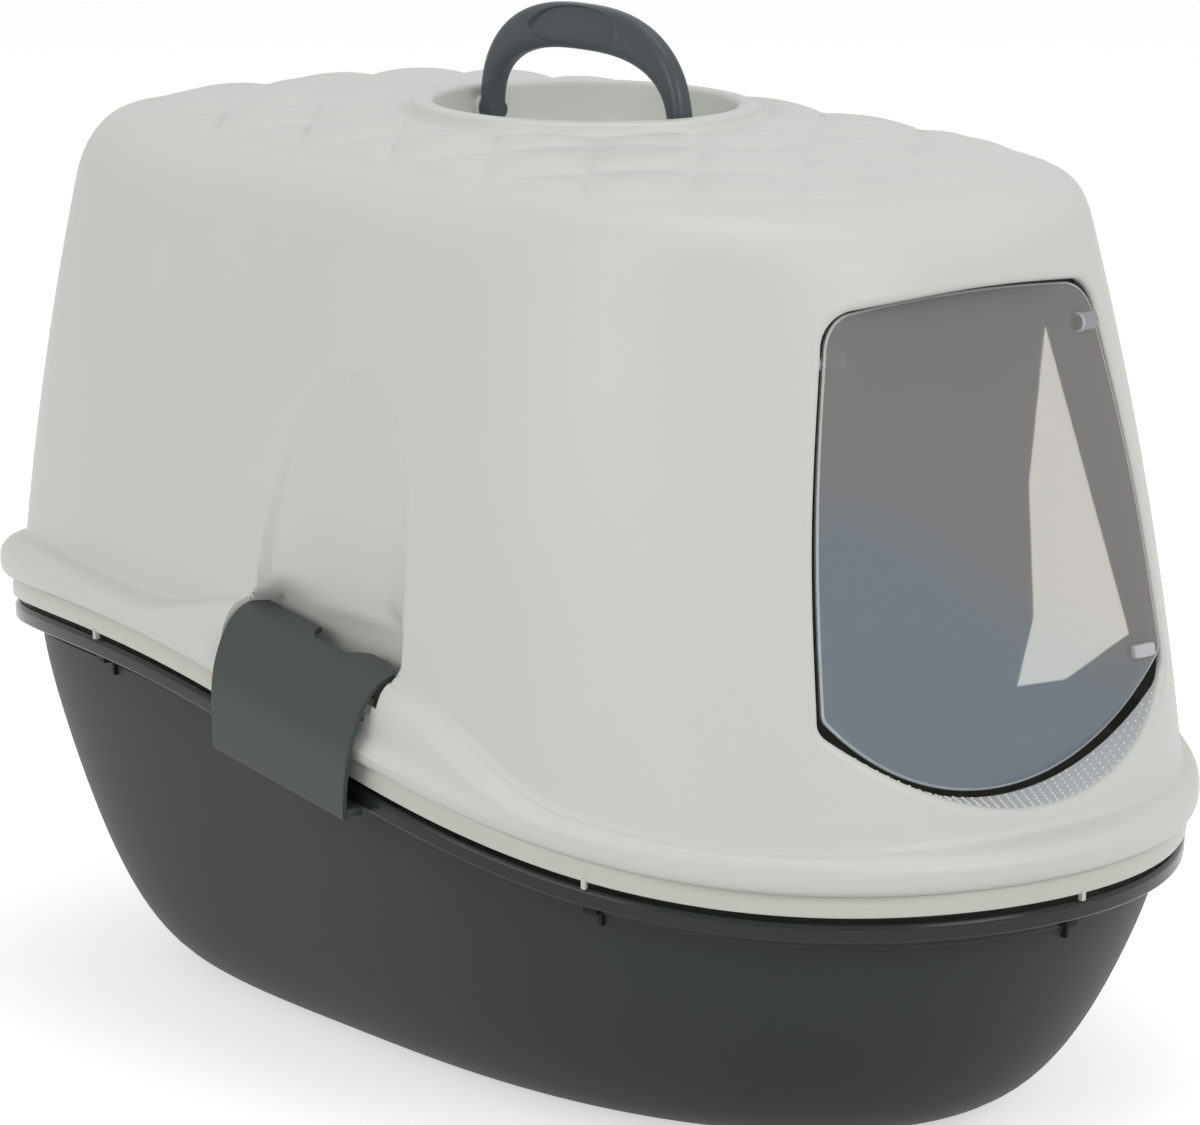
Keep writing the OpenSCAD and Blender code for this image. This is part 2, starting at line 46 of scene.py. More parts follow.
back = Vector((math.sin(turn) * math.cos(rise), -math.cos(turn) * math.cos(rise), math.sin(rise)))
lens = bpy.data.cameras.new("camera")
lens.sensor_fit = "HORIZONTAL"
lens.sensor_width = 36.0
lens.lens = 156.31
lens.shift_x = -0.01208
lens.shift_y = 0.07288
lens.clip_end = 60.0
camera = bpy.data.objects.new("camera", lens)
camera.location = LOOK_AT + back * distance
camera.rotation_euler = (-back).to_track_quat("-Z", "Y").to_euler()
bpy.context.scene.collection.objects.link(camera)
bpy.context.scene.camera = camera
bpy.context.scene.view_settings.view_transform = "Standard"

# ---- Base tray ----
# The deep boat-shaped tray that holds the litter, moulded in one shot in dark
# grey polypropylene: a rolled rim that follows a long wave, and a flat foot.
MM = 0.001
BODY_W, BODY_L, WIDE_Y = 390.0, 590.0, 24.0
RIM_Z, WAVE_H, WAVE_L, WAVE_Y = 135.8, 31.0, 422.0, -61.0
PLAN_FRONT = BODY_L / 2 + WIDE_Y
PLAN_REAR = BODY_L / 2 - WIDE_Y
BOWL_IN, BOWL_DRAFT, FOOT_IN, FOOT_ROUND = 12.0, 43.7, 113.0, 3.9
COLLAR_STEP, COLLAR_FADE = 4.2, 0.12
TRAY_WALL = 2.5


def mix(a, b, share):
    """The value that lies the given share of the way from a to b."""
    return a + (b - a) * share


def ease(v):
    """Smooth step from 0 to 1: 3v^2 - 2v^3, held beyond both ends."""
    v = np.clip(v, 0.0, 1.0)
    return v * v * (3.0 - 2.0 * v)


def rim(y):
    """Height of the base rim's lower edge: half a sine wave over the length, low in front."""
    return RIM_Z + WAVE_H * np.sin(np.pi * (y - WAVE_Y) / WAVE_L)


def plan(t, inset):
    """Plan outline at angle t: a superellipse with one pair of exponents in front of the
    widest place and one behind it, its half axes reduced by inset."""
    c, s = np.cos(t), np.sin(t)
    front = s < 0
    reach = np.where(front, PLAN_FRONT, PLAN_REAR) - inset
    x = (BODY_W / 2 - inset) * np.sign(c) * np.abs(c) ** (2 / np.where(front, 2.0, 3.3))
    y = WIDE_Y + reach * np.sign(s) * np.abs(s) ** (2 / np.where(front, 2.53, 3.5))
    return x, y


def way_along(steps):
    """How far along a line each of its points lies, from the lengths of its steps."""
    return np.concatenate([[0.0], np.cumsum(steps)])


def even_angles(n):
    """n angles from the rear middle round by the left side, the front and the right side,
    spaced evenly along the plan outline."""
    fine = np.linspace(-1.5 * np.pi, 0.5 * np.pi, 24001)
    x, y = plan(fine, 0.0)
    way = way_along(np.hypot(np.diff(x), np.diff(y)))
    return np.interp(np.arange(n) * way[-1] / n, way, fine)


def bowl(t, s, off, foot):
    """The bowl at angle t and depth share s: the rim's outline drawn in by a straight draft,
    a small step under the collar and a superelliptic round at the foot."""
    k = BOWL_DRAFT * s + COLLAR_STEP * np.exp(-s / COLLAR_FADE) \
        + (FOOT_IN - BOWL_IN - BOWL_DRAFT) * (1 - (1 - s ** FOOT_ROUND) ** (1 / FOOT_ROUND))
    x, y = plan(t, BOWL_IN + off)
    return np.stack([x * (1 - k / (BODY_W / 2 - BOWL_IN)),
                     WIDE_Y + (y - WIDE_Y) * (1 - 0.96 * k / (BODY_L / 2 - BOWL_IN)),
                     mix(rim(y), foot, s)], -1)


def rounded(corners, steps=5):
    """A line through (across, up, radius) corners, each one cut back by its radius and
    bridged by a quadratic curve that starts and ends along the two sides."""
    corners = np.asarray(corners, float)
    line = [corners[:1, :2]]
    u = np.linspace(0, 1, steps + 1)[:, None]
    for before, here, after in zip(corners[:-2], corners[1:-1], corners[2:]):
        to_before, to_after = before[:2] - here[:2], after[:2] - here[:2]
        cut = min(here[2], 0.48 * np.linalg.norm(to_before), 0.48 * np.linalg.norm(to_after))
        a = here[:2] + to_before * cut / np.linalg.norm(to_before)
        b = here[:2] + to_after * cut / np.linalg.norm(to_after)
        line.append((1 - u) ** 2 * a + 2 * u * (1 - u) * here[:2] + u ** 2 * b if cut > 0 else here[None, :2])
    return np.concatenate(line + [corners[-1:, :2]])


def along_rim(t, section):
    """Sweeps a section of (inset, height over the rim's edge) points round the plan."""
    x, y = plan(t[None, :], section[:, :1])
    return np.stack([x, y, rim(y) + section[:, 1:2]], -1)


def grid_quads(rows, cols, close_rows=False, close_cols=True, start=0):
    """Quads between neighbours on a grid of points that are numbered row by row."""
    i = np.arange(rows if close_rows else rows - 1)[:, None]
    j = np.arange(cols if close_cols else cols - 1)[None, :]
    i2, j2 = (i + 1) % rows, (j + 1) % cols
    return start + np.stack([i * cols + j, i * cols + j2, i2 * cols + j2, i2 * cols + j], -1).reshape(-1, 4)


def capped(grid, start=0):
    """Faces of a closed shell from a grid of rings: its sides and a flat cap at each end."""
    rows, cols = grid.shape[:2]
    return [grid_quads(rows, cols, start=start), start + np.arange(cols)[::-1],
            start + np.arange((rows - 1) * cols, rows * cols)]


def power(w, exponent):
    """|w| to the exponent with the sign of w, as superellipses need it."""
    return np.sign(w) * np.abs(w) ** exponent


def soft_block(centre, size, corner, steps=4):
    """Rings of a box with rounded edges: a superellipsoid, power(cos v) power(cos u) and so
    on with corner as the exponent, that is cut flat just before each pole."""
    v = np.linspace(-np.pi / 2, np.pi / 2, 6 * steps + 1)[1:-1, None]
    u = np.linspace(0, 2 * np.pi, 12 * steps + 1)[None, :-1]
    level = power(np.cos(v), corner)
    ball = np.stack([level * power(np.cos(u), corner), level * power(np.sin(u), corner),
                     power(np.sin(v), corner) + 0 * u], -1)
    return np.asarray(centre) + ball * np.asarray(size) / 2


def flipped(faces):
    """The same arrays of faces, turned to look the other way."""
    return [np.atleast_2d(f)[:, ::-1] for f in faces]


def joined(name, shells, sharp=32.0):
    """One object from several closed shells, each given as a grid of rings."""
    start, faces = 0, []
    for shell in shells:
        faces += capped(shell, start)
        start += shell.size // 3
    return new_piece(name, shells, faces, sharp)


def beside_rim(t, block):
    """Stands a small block (across, out, up) on the rim at angle t: up from the rim's edge,
    out measured inwards from the widest outline, across along it."""
    here, ahead, inner = (np.array(plan(np.array(angle), inset))
                          for angle, inset in ((t, 0.0), (t + 1e-3, 0.0), (t, 10.0)))
    along = (ahead - here) / np.linalg.norm(ahead - here)
    inward = np.array([-along[1], along[0]])
    inward = inward * np.sign(inward @ (inner - here))
    spot = here + block[..., :1] * along + block[..., 1:2] * inward
    return np.concatenate([spot, rim(spot[..., 1:2]) + block[..., 2:]], -1)


def new_piece(name, points, faces, sharp=32.0):
    """A mesh object from points in millimetres and arrays of faces with equal corner counts.
    Edges that bend by more than sharp degrees stay crisp."""
    points = np.concatenate([np.reshape(p, (-1, 3)) for p in points]) * MM
    faces = [np.atleast_2d(f) for f in faces]
    sizes = np.concatenate([np.full(len(f), f.shape[1]) for f in faces])
    mesh = bpy.data.meshes.new(name)
    mesh.vertices.add(len(points))
    mesh.vertices.foreach_set("co", points.ravel())
    mesh.loops.add(int(sizes.sum()))
    mesh.loops.foreach_set("vertex_index", np.concatenate([f.ravel() for f in faces]).astype(np.int32))
    mesh.polygons.add(len(sizes))
    mesh.polygons.foreach_set("loop_start", np.concatenate([[0], np.cumsum(sizes)[:-1]]).astype(np.int32))
    mesh.polygons.foreach_set("use_smooth", np.ones(len(sizes), bool))
    mesh.update(calc_edges=True)
    mesh.validate()
    mesh.set_sharp_from_angle(angle=math.radians(sharp))
    piece = bpy.data.objects.new(name, mesh)
    bpy.context.scene.collection.objects.link(piece)
    return piece


def srgb(r, g, b):
    """Linear colour of a display colour given in 0 to 255."""
    c = np.array([r, g, b]) / 255.0
    return (*np.where(c <= 0.04045, c / 12.92, ((c + 0.055) / 1.055) ** 2.4), 1.0)


def new_material(name):
    """A material with nodes. Returns it, its tree and its shader."""
    material = bpy.data.materials.new(name)
    material.use_nodes = True
    return material, material.node_tree, material.node_tree.nodes["Principled BSDF"]


def wire(tree, node, **inputs):
    """Sets or links a node's inputs, an underscore in a name standing for a space."""
    for name, value in inputs.items():
        socket = node.inputs[name.replace("_", " ")]
        if isinstance(value, bpy.types.NodeSocket):
            tree.links.new(value, socket)
        else:
            socket.default_value = value
    return node


def new_node(tree, kind, **inputs):
    """A new shader node of a kind, wired. A mix is one of colours."""
    node = tree.nodes.new("ShaderNode" + kind)
    if kind == "Mix":
        node.data_type = "RGBA"
    return wire(tree, node, **inputs)


def maths(tree, operation, *values):
    """A Math node that works on sockets or numbers. Returns its result."""
    node = tree.nodes.new("ShaderNodeMath")
    node.operation = operation
    for socket, value in zip(node.inputs, values):
        if isinstance(value, float):
            socket.default_value = value
        else:
            tree.links.new(value, socket)
    return node.outputs["Value"]


def mixed(tree, share, first, second):
    """A shader mixed from two by a share of the second."""
    blend = tree.nodes.new("ShaderNodeMixShader")
    for socket, source in zip(blend.inputs, (share, first, second)):
        tree.links.new(source, socket)
    return blend.outputs["Shader"]


def plastic(name, colour, roughness, grain=0.12, spread=0.03, specular=0.5):
    """Moulded plastic: a broad flow mottle in the colour, and a fine grain that shifts the
    roughness and lifts the surface a little."""
    material, tree, shader = new_material(name)
    place = new_node(tree, "TexCoord").outputs["Object"]
    broad, fine = (new_node(tree, "TexNoise", Vector=place, Scale=scale, Detail=detail).outputs["Fac"]
                   for scale, detail in ((9.0, 3.0), (1500.0, 2.0)))
    dim, bright = (tuple(min(1.0, c * k) for c in colour[:3]) + (1.0,) for k in (1 - spread, 1 + spread))
    tint = new_node(tree, "Mix", Factor=broad, A=dim, B=bright)
    gloss = new_node(tree, "MapRange", Value=fine, To_Min=roughness - 0.05, To_Max=roughness + 0.05)
    bump = new_node(tree, "Bump", Height=fine, Strength=grain, Distance=0.0002)
    wire(tree, shader, Specular_IOR_Level=specular, Base_Color=tint.outputs["Result"],
         Roughness=gloss.outputs["Result"], Normal=bump.outputs["Normal"])
    return material


def finish(piece, body, slot, *materials):
    """Gives a new piece its materials and its body; its slot is not used."""
    for material in materials:
        piece.data.materials.append(material)
    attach(piece, body)


def paint(piece, *spans):
    """Gives the faces of each span (first, last, index) the piece's material of that index."""
    index = np.zeros(len(piece.data.polygons), np.int32)
    for first, last, which in spans:
        index[first:last] = which
    piece.data.polygons.foreach_set("material_index", index)


def recolour(material, *names):
    """Gives CAD pieces that are shown as they are their material."""
    for name in names:
        nodes[name].data.materials.clear()
        nodes[name].data.materials.append(material)


tray_dark = plastic("tray_dark_plastic", srgb(55, 60, 57), 0.48, grain=0.10, specular=0.16)
# The rim takes a darker, glossier copy of the tray's plastic: its darker colour is painted shade
rim_painted_shade = plastic("rim_dark_plastic", srgb(38, 43, 43), 0.18, grain=0.04, specular=0.3)
RIM_TOP = 9.4
around = even_angles(360)
depth = np.concatenate([np.linspace(1, 0.88, 14)[:-1] ** 0.5, np.linspace(0.94, 0.03, 34)])
outside = bowl(around[None, :], depth[:, None], 0.0, 0.0)
rolled = along_rim(around, rounded([
    (17.4, -4.2, 0), (15.2, -3.6, 0.8), (14.8, 1.0, 0.8), (6.2, 1.5, 0.4), (5.6, 2.3, 0.4), (5.4, 7.6, 0.8),
    (6.6, RIM_TOP, 0.9), (8.0, RIM_TOP, 0.3), (9.0, RIM_TOP - 1.0, 0.5), (17.5, RIM_TOP - 1.0, 1.5),
    (19.0, 4.0, 0)], 4))
inside = bowl(around[None, :], np.linspace(0.05, 1.0, 20)[:, None] ** 0.6, TRAY_WALL, TRAY_WALL)
rings = np.concatenate([outside, rolled, inside])
base = joined("base_tray_shell", [rings])
finish(base, "tray", "tray", tray_dark, rim_painted_shade)
# From the collar over the rim's top to its inner side, the faces take that darker copy: painted shade
under_rim = len(outside) + 8
paint(base, (under_rim * len(around), (len(outside) + len(rolled)) * len(around), 1))
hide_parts("base_tray")

# Six near-black marks under the rim, at these angles round the plan: a wedge with a thin strip below. They
# are painted shade: dark blocks that stand in for the shade inside small slots under the rim
SLOT_SHADE_T = (-3.3487, 0.2071, -2.5716, -0.57, -1.5629, 1.5708)
wedge = soft_block((0, 13.6, -0.8), (6.4, 7.0, 4.6), 0.15, 2)
slot_shade_strip = soft_block((2.2, 16.8, -5.0), (2.0, 3.6, 8.4), 0.3, 2)
slot_shade_marks = joined("base_rim_catches", [beside_rim(t, block) for t in SLOT_SHADE_T for block in (wedge, slot_shade_strip)])
slot_shade_dark = plastic("catch_dark_plastic", srgb(26, 29, 29), 0.5, grain=0.05, specular=0.2)
finish(slot_shade_marks, "tray", "tray", slot_shade_dark)

# ---- Sieve tray ----
# A light grey lift-out tray, one moulding, shown with a plain floor. It hangs in the base
# by its rim, which shows as a pale band under the hood and carries a few small tabs.
SIEVE_IN, BAND_Z, BAND_STEP_Z, SIEVE_TOP_Z = 15.8, 12.3, 21.2, 22.8
BAND_IN, STEP_IN = 4.6, 7.1
sieve_light = plastic("sieve_light_plastic", srgb(207, 206, 198), 0.38, grain=0.06)
sieve_off = SIEVE_IN - BOWL_IN
sieve_foot = TRAY_WALL + 1.5
hang = bowl(around[None, :], np.linspace(1.0, 0.04, 36)[:, None] ** 0.6, sieve_off, sieve_foot)
band = along_rim(around, rounded([
    (20.2, 4.0, 0), (19.4, 17.0, 2.0), (10.0, 18.6, 2.0), (7.0, BAND_Z, 0.3), (BAND_IN + 0.2, BAND_Z, 0.6),
    (BAND_IN, 17.6, 2.0), (BAND_IN + 1.1, BAND_STEP_Z, 1.0), (STEP_IN + 0.6, BAND_STEP_Z + 0.2, 0.4),
    (STEP_IN + 0.8, SIEVE_TOP_Z, 0.6), (19.8, SIEVE_TOP_Z, 2.0), (22.6, 12.0, 0)], 4))
lining = bowl(around[None, :], np.linspace(0.02, 1.0, 36)[:, None] ** 0.6, sieve_off + TRAY_WALL,
              sieve_foot + TRAY_WALL)
rings = np.concatenate([hang, band, lining])
sieve = joined("sieve_tray_shell", [rings])
finish(sieve, "sieve", "sieve", sieve_light)
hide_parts("sieve_tray")

# Small tabs on the pale band, nearly in line with the dark slot marks under the base's rim
TAB_T = (-3.3320, 0.1904, -2.5716, -0.57, -1.5629, 1.5708)
tab = soft_block((0, 5.6, 11.4), (2.1, 2.6, 4.6), 0.2, 2)
tabs = joined("sieve_rim_tabs", [beside_rim(t, tab) for t in TAB_T])
finish(tabs, "sieve", "sieve", sieve_light)

# ---- Hood ----
# The cover, one large injection moulding in warm light grey: a rounded bead that sits
# on the sieve's rim, a shoulder, a wall with a recess for each latch, and a quilted roof.
HOOD_WALL, LIP_Z, EAVE_Z, CREASE_Z, CROWN_H = 2.6, 21.5, 362.0, 390.0, 11.0
RECESS_X, RECESS_Y, RECESS_TOP, RECESS_REAR, RECESS_FRONT = 160.0, -20.0, 310.0, 48.0, 51.0
SLOT_TOP, LEDGE_H = 205.0, 7.5
HANDLE_Y, POCKET = 20.0, (62.0, 71.0)
LIP_R, BAND_H, LOBE_H, SHOULDER_FILLET = 4.2, 6.6, 19.0, 3.2
QUILT_PITCH, QUILT_H = 62.0, 3.4
LOBE_Y, LOBE_REACH, LOBE_FADE = -30.0, 130.0, 80.0
CREASE_HALF_W, CREASE_FRONT, CREASE_REAR = 122.6, 182.9, 255.0


def level_with(yp, start, a, front, rear, e_front, e_rear):
    """A superellipse point level with plan place yp: the same y along the sides, drawn in
    smoothly beyond start to the reaches front and rear. Returns half width and y."""
    half = BODY_L / 2
    y = np.where(yp < 0, yp + (half - front) * ease((-yp - start) / (half - start)),
                 yp - (half - rear) * ease((yp - start) / (half - start)))
    reach = np.where(y < 0, front, rear)
    e_x = np.where(y < 0, e_front[0], e_rear[0])
    e_y = np.where(y < 0, e_front[1], e_rear[1])
    share = np.minimum(1.0, np.abs(y) / reach)
    return a * np.maximum(0.0, 1 - share ** e_y) ** (1 / e_x), y


def wall_at(x, y, z, off):
    """The hood's wall beside plan point (x, y) at height z, moved in by off."""
    h = (z - 165.0) / 100
    a = 179.5 - 8 * h - 3.86 * h * h - off
    front = 271.4 - 19 * h - 2.09 * h * h - off
    rear = 288.4 - 9 * h - 1.47 * h * h - off
    wx, wy = level_with(y, 110.0, a, front, rear, (2.36 + 0.09 * h, 2.69 + 0.09 * h),
                        (3.81 + 0.12 * h, 4.07 + 0.12 * h))
    return np.sign(x) * wx, wy


def fall(d, corner, reach, fullness):
    """Share of the recess's depth at a distance d inside its edge: the edge is rounded over
    corner, then the wall falls away as 1 - (1 - d / reach)^fullness."""
    d = np.maximum(d, 0.0)
    return 1 - (1 - np.clip(d * d / (d + corner) / reach, 0, 1)) ** fullness


def recess_share(y, z):
    """How much of the latch recess a place on the side has, the smaller of what its rear and
    its front edge leave. The outline is an arch, half an ellipse to the rear and fuller in
    front, which narrows beside the slot at the foot. The walls are short and steep there
    and long and dished above."""
    up = np.clip((z - SLOT_TOP) / (RECESS_TOP - SLOT_TOP), 0, 1)
    dish, slope = ease((z - SLOT_TOP - 2) / 26), ease((z - SLOT_TOP + 2) / 16)
    rear = RECESS_Y + RECESS_REAR * np.sqrt(1 - up ** 2) + 4.6 * (1 - ease((z - SLOT_TOP) / 9))
    front = RECESS_Y - RECESS_FRONT * (1 - up ** 2.7) ** (1 / 2.7) \
        + 3.6 * (1 - ease((z - SLOT_TOP + 15) / 10)) + 9.0 * (1 - ease((z - SLOT_TOP + 29) / 10))
    beside_slot = fall(rear - y, mix(1.8, 1.4, dish), mix(4.0, 9.0, dish), 2.2)
    above_slot = 0.35 * fall(rear - y, 1.2, 3.0, 2.0) + 0.65 * fall(rear - y, 1.0, 40.0, 1.8)
    return np.minimum(mix(beside_slot, above_slot, ease((z - SLOT_TOP - 2) / 15)),
                      fall(y - front, mix(0.8, 1.4, slope), mix(1.6, 30.0, slope), 2.0))


def recessed(x, y, z, off):
    """Pushes the wall in to the recess's floor where the recess is: a floor that comes
    forward above the slot and runs out into the wall at the top of the arch."""
    up = np.clip((RECESS_TOP - z) / (RECESS_TOP - SLOT_TOP), 0, 1)
    deepest = RECESS_X + 12.0 * ease((z - SLOT_TOP + 2) / 24) - off
    floor_x = np.minimum(np.abs(x) - 4.2 - 9.8 * up ** 1.5, deepest)
    return np.sign(x) * mix(np.abs(x), np.minimum(np.abs(x), floor_x), recess_share(y, z)), y


def lobe(y):
    """The shoulder's rise beside the latch, 0 to 1."""
    return ease((LOBE_REACH - np.abs(y - LOBE_Y)) / LOBE_FADE)


def shoulder_h(y):
    """Height of the shoulder's flat top over the lip."""
    return 16.0 - 3.5 * ease((y + 40) / 120) + 6.0 * ease((y - 120) / 110) + LOBE_H * lobe(y)


def bead(t, q, off):
    """Bead and shoulder, q from 0 at the lip to 1 at the wall: a round lower edge, an upright
    band, a quarter ellipse over the shoulder and a tight fillet up to the wall. In the
    latch slot it is a low ledge."""
    lower = np.clip(q / 0.3, 0, 1)
    upright = np.clip((q - 0.3) / 0.1, 0, 1)
    over = np.clip((q - 0.4) / 0.4, 0, 1) * np.pi / 2
    fillet = np.clip((q - 0.8) / 0.2, 0, 1) * np.pi / 2
    u = np.clip((q - 0.4) / 0.6, 0, 1)
    inset = LIP_R * (1 - np.sqrt(1 - (1 - lower) ** 2))
    x, y = plan(t, inset + off)
    lip = rim(y) + LIP_Z
    rise = shoulder_h(y) - BAND_H
    full = BAND_H * lower + rise * (0.25 * upright + 0.75 * np.sin(over)) \
        + SHOULDER_FILLET * (1 - np.cos(fillet))
    w = 0.84 * (1 - np.cos(over)) + 0.16 * np.sin(fillet)
    w = w + (1 - w) * 0.32 * lobe(y) * upright
    m = recess_share(y, np.minimum(lip + full, SLOT_TOP))
    ledge = np.where(u < 0.5, np.minimum(full, LEDGE_H), mix(LEDGE_H, full, 2 * u - 1))
    z = lip + mix(full, ledge, m) - np.where(u > 0, off * (1 - u), 0)
    wx, wy = wall_at(x, y, z, off)
    wx, wy = recessed(wx, wy, z, off)
    w = mix(w, np.minimum(1, 2 * u), m)
    return np.stack([np.sign(x) * np.abs(mix(x, wx, w)), mix(y, wy, w), z], -1)


def wall(t, f, off):
    """The wall, f from 0 at the shoulder to 1 at the eave."""
    x, y = plan(t, 0.0)
    foot = rim(y) + LIP_Z + shoulder_h(y) + SHOULDER_FILLET
    z = mix(foot, EAVE_Z, f ** 1.15)
    wx, wy = wall_at(x, y, z, off)
    return np.stack([*recessed(wx, wy, z, off), z + 0 * wx], -1)


def crease(t, off):
    """The crease line between the eave and the quilted roof panel."""
    x, y = plan(t, 0.0)
    cx, cy = level_with(y, 20.0, CREASE_HALF_W - off, CREASE_FRONT - off, CREASE_REAR - off,
                        (3.7, 3.7), (4.0, 4.0))
    return np.stack([np.sign(x) * cx, cy, 0 * cx + CREASE_Z - off], -1)


def roof(t, f, off):
    """The roof from the crease line (f = 0) to the handle pocket (f = 1): a low crown, with
    pillows between 45 degree valleys, |sin|.|sin| to a power, that die out at both borders."""
    edge = crease(t, off)
    angle = np.arctan2(edge[..., 1] - HANDLE_Y, edge[..., 0])
    hx, hy = (POCKET[0] + 3) * np.cos(angle), HANDLE_Y + (POCKET[1] + 3) * np.sin(angle)
    x, y = mix(edge[..., 0], hx, f), mix(edge[..., 1], hy, f)
    run = np.hypot(hx - edge[..., 0], hy - edge[..., 1])
    z = CREASE_Z - off + CROWN_H * (1 - (1 - f) ** 1.6)
    if off == 0:
        u, v = (x + y) / QUILT_PITCH, (x - y) / QUILT_PITCH
        pillow = (np.abs(np.sin(np.pi * u)) * np.abs(np.sin(np.pi * v))) ** 0.55
        border = (1 - np.exp(-f * run / 5)) * ease((1 - f) * run / 16 - 0.35)
        z = z + QUILT_H * pillow * border - 0.8 * np.exp(-f * run / 1.2)
    return np.stack([x, y, z], -1)


def eave(t, v, off):
    """The rounded edge between wall and roof: a Hermite curve that leaves along the wall and
    arrives along the roof."""
    low, below = wall(t, 1.0, off), wall(t, 0.94, off)
    high = crease(t, off / 2) - np.array([0, 0, off / 2])
    angle = np.arctan2(high[..., 1] - HANDLE_Y, high[..., 0])
    span = np.linalg.norm(low[..., :2] - high[..., :2], axis=-1, keepdims=True)
    leave = (low - below) / (low - below)[..., 2:] * 1.62 * (CREASE_Z - EAVE_Z)
    inward = np.stack([-np.cos(angle), -np.sin(angle), 0.16 + 0 * angle], -1)
    arrive = inward * span * 1.62
    v = np.asarray(v)[..., None]
    return low * (2 * v ** 3 - 3 * v * v + 1) + leave * (v ** 3 - 2 * v * v + v) \
        + high * (3 * v * v - 2 * v ** 3) + arrive * (v ** 3 - v * v)


def hood_skin(t, s, off=0.0):
    """The hood at angle t and height s: 0 to 1 bead, to 2 wall, to 3 eave, to 4 roof."""
    parts = [bead(t, np.clip(s, 0, 1), off), wall(t, np.clip(s - 1, 0, 1), off),
             eave(t, np.clip(s - 2, 0, 1), off), roof(t, np.clip(s - 3, 0, 1), off)]
    s = np.asarray(s)[..., None]
    return np.where(s <= 1, parts[0], np.where(s <= 2, parts[1], np.where(s <= 3, parts[2], parts[3])))


DOOR_HALF_W, DOOR_LEAN, DOOR_TOP_Z, DOOR_LIP_Z = 96.6, 0.142, 355.0, 150.8
DOOR_R, DOOR_BOW = (17.0, 8.0), 3.4
FILLET = 4.0


def arc(centre, radius, start, stop, n):
    """n + 1 points on an arc, angles in radians."""
    a = np.linspace(start, stop, n + 1)
    return np.stack([centre[0] + radius * np.cos(a), centre[1] + radius * np.sin(a)], -1)


def door_outline(grow, n=40):
    """The opening's outline in x and z, anticlockwise from the middle of the lip, grown by
    grow: a wide lip arc, a small corner, a leaning and slightly bowed side, a round corner
    and a low top arch."""
    slant = math.atan(DOOR_LEAN)
    top = (DOOR_HALF_W - DOOR_LEAN * (DOOR_TOP_Z - 212.5) - DOOR_R[0] - 0.3, DOOR_TOP_Z - 20.5)
    low = (DOOR_HALF_W - DOOR_R[1], 192.8)
    drop = DOOR_LIP_Z - low[1]
    lip_r = (low[0] ** 2 + drop ** 2 - DOOR_R[1] ** 2) / (-2 * (DOOR_R[1] + drop))
    lip_a = math.atan2(-drop - lip_r, low[0])
    lip = arc((0, DOOR_LIP_Z + lip_r), lip_r + grow, -math.pi / 2, lip_a, 3 * n)
    corner = arc(low, DOOR_R[1] + grow, lip_a, slant, n)
    shoulder = arc(top, DOOR_R[0] + grow, slant, math.radians(86), n)
    share = np.linspace(0, 1, 3 * n + 1)[1:-1, None]
    side = mix(corner[-1:], shoulder[:1], share) + DOOR_BOW * np.sin(np.pi * share) * np.array([1, 0])
    k = np.linspace(1, 0, 2 * n + 1)[1:]
    peak = DOOR_TOP_Z + grow
    arch = np.stack([k * shoulder[-1, 0], peak - (peak - shoulder[-1, 1]) * k ** 2], -1)
    half = np.concatenate([lip, corner[1:], side, shoulder, arch])
    mirrored = half[1:-1][::-1] * np.array([-1, 1])
    return np.concatenate([half, mirrored])


def place_on_hood(x, z, off, t, s):
    """Angle and height on the hood's skin that lie at x and z on its front, by Newton steps
    from the guesses t and s, with slopes taken by small differences."""
    tiny = 1e-4
    for _ in range(14):
        here, by_t, by_s = (hood_skin(t + dt, s + ds, off) for dt, ds in ((0, 0), (tiny, 0), (0, tiny)))
        ex, ez = x - here[..., 0], z - here[..., 2]
        xt, zt = ((by_t - here)[..., k] / tiny for k in (0, 2))
        xs, zs = ((by_s - here)[..., k] / tiny for k in (0, 2))
        det = xt * zs - xs * zt
        det = np.where(np.abs(det) < 1e-6, 1e-6, det)
        t = t + np.clip((ex * zs - xs * ez) / det, -0.05, 0.05)
        s = np.clip(s + np.clip((xt * ez - ex * zt) / det, -0.08, 0.08), 0.45, 2.6)
    return t, s


def hood_angles(n):
    """n angles round the plan outline, the middle one at the front, closer together beside
    the latch recesses."""
    fine = np.linspace(-1.5 * np.pi, 0.5 * np.pi, 24001)
    x, y = plan(fine, 0.0)
    step = np.hypot(np.diff(x), np.diff(y))
    x, y = x[1:], y[1:]
    edges = np.exp(-((y - 31) / 5) ** 2) + np.exp(-((y + 69) / 5) ** 2)
    near = (ease((92 - np.abs(y - RECESS_Y)) / 16) + edges) * (np.abs(x) > 100)
    way = way_along(step * (1 + 1.4 * near))
    return np.interp(np.arange(n) * way[-1] / n, way, fine)


HOOD_COLS = 460
rows_bead = np.concatenate([np.linspace(0, 0.3, 6), np.linspace(0.3, 0.8, 11)[1:],
                            np.linspace(0.8, 1, 6)[1:]])
rows_wall = np.linspace(1, 2, 47)[1:]
rows_eave = np.linspace(2, 3, 13)[1:]
rows_roof = 3 + np.concatenate([[0.012, 0.03], np.linspace(0.06, 1, 38)])
hood_t = hood_angles(HOOD_COLS)
hood_s = np.concatenate([rows_bead, rows_wall, rows_eave, rows_roof])
skin = hood_skin(hood_t[None, :] + 0 * hood_s[:, None], hood_s[:, None] + 0 * hood_t[None, :])

# The window of the grid round the opening, and the outline that fills it
WINDOW_HALF_W, WINDOW_S, RUNGS = 113.0, (0.62, 2.4), 12
centre = HOOD_COLS // 2
half_cols = int(np.argmax(skin[len(rows_bead) + 39, centre:, 0] > WINDOW_HALF_W))
c0, c1 = centre - half_cols, centre + half_cols
r0, r1 = (int(np.searchsorted(hood_s, edge)) for edge in WINDOW_S)


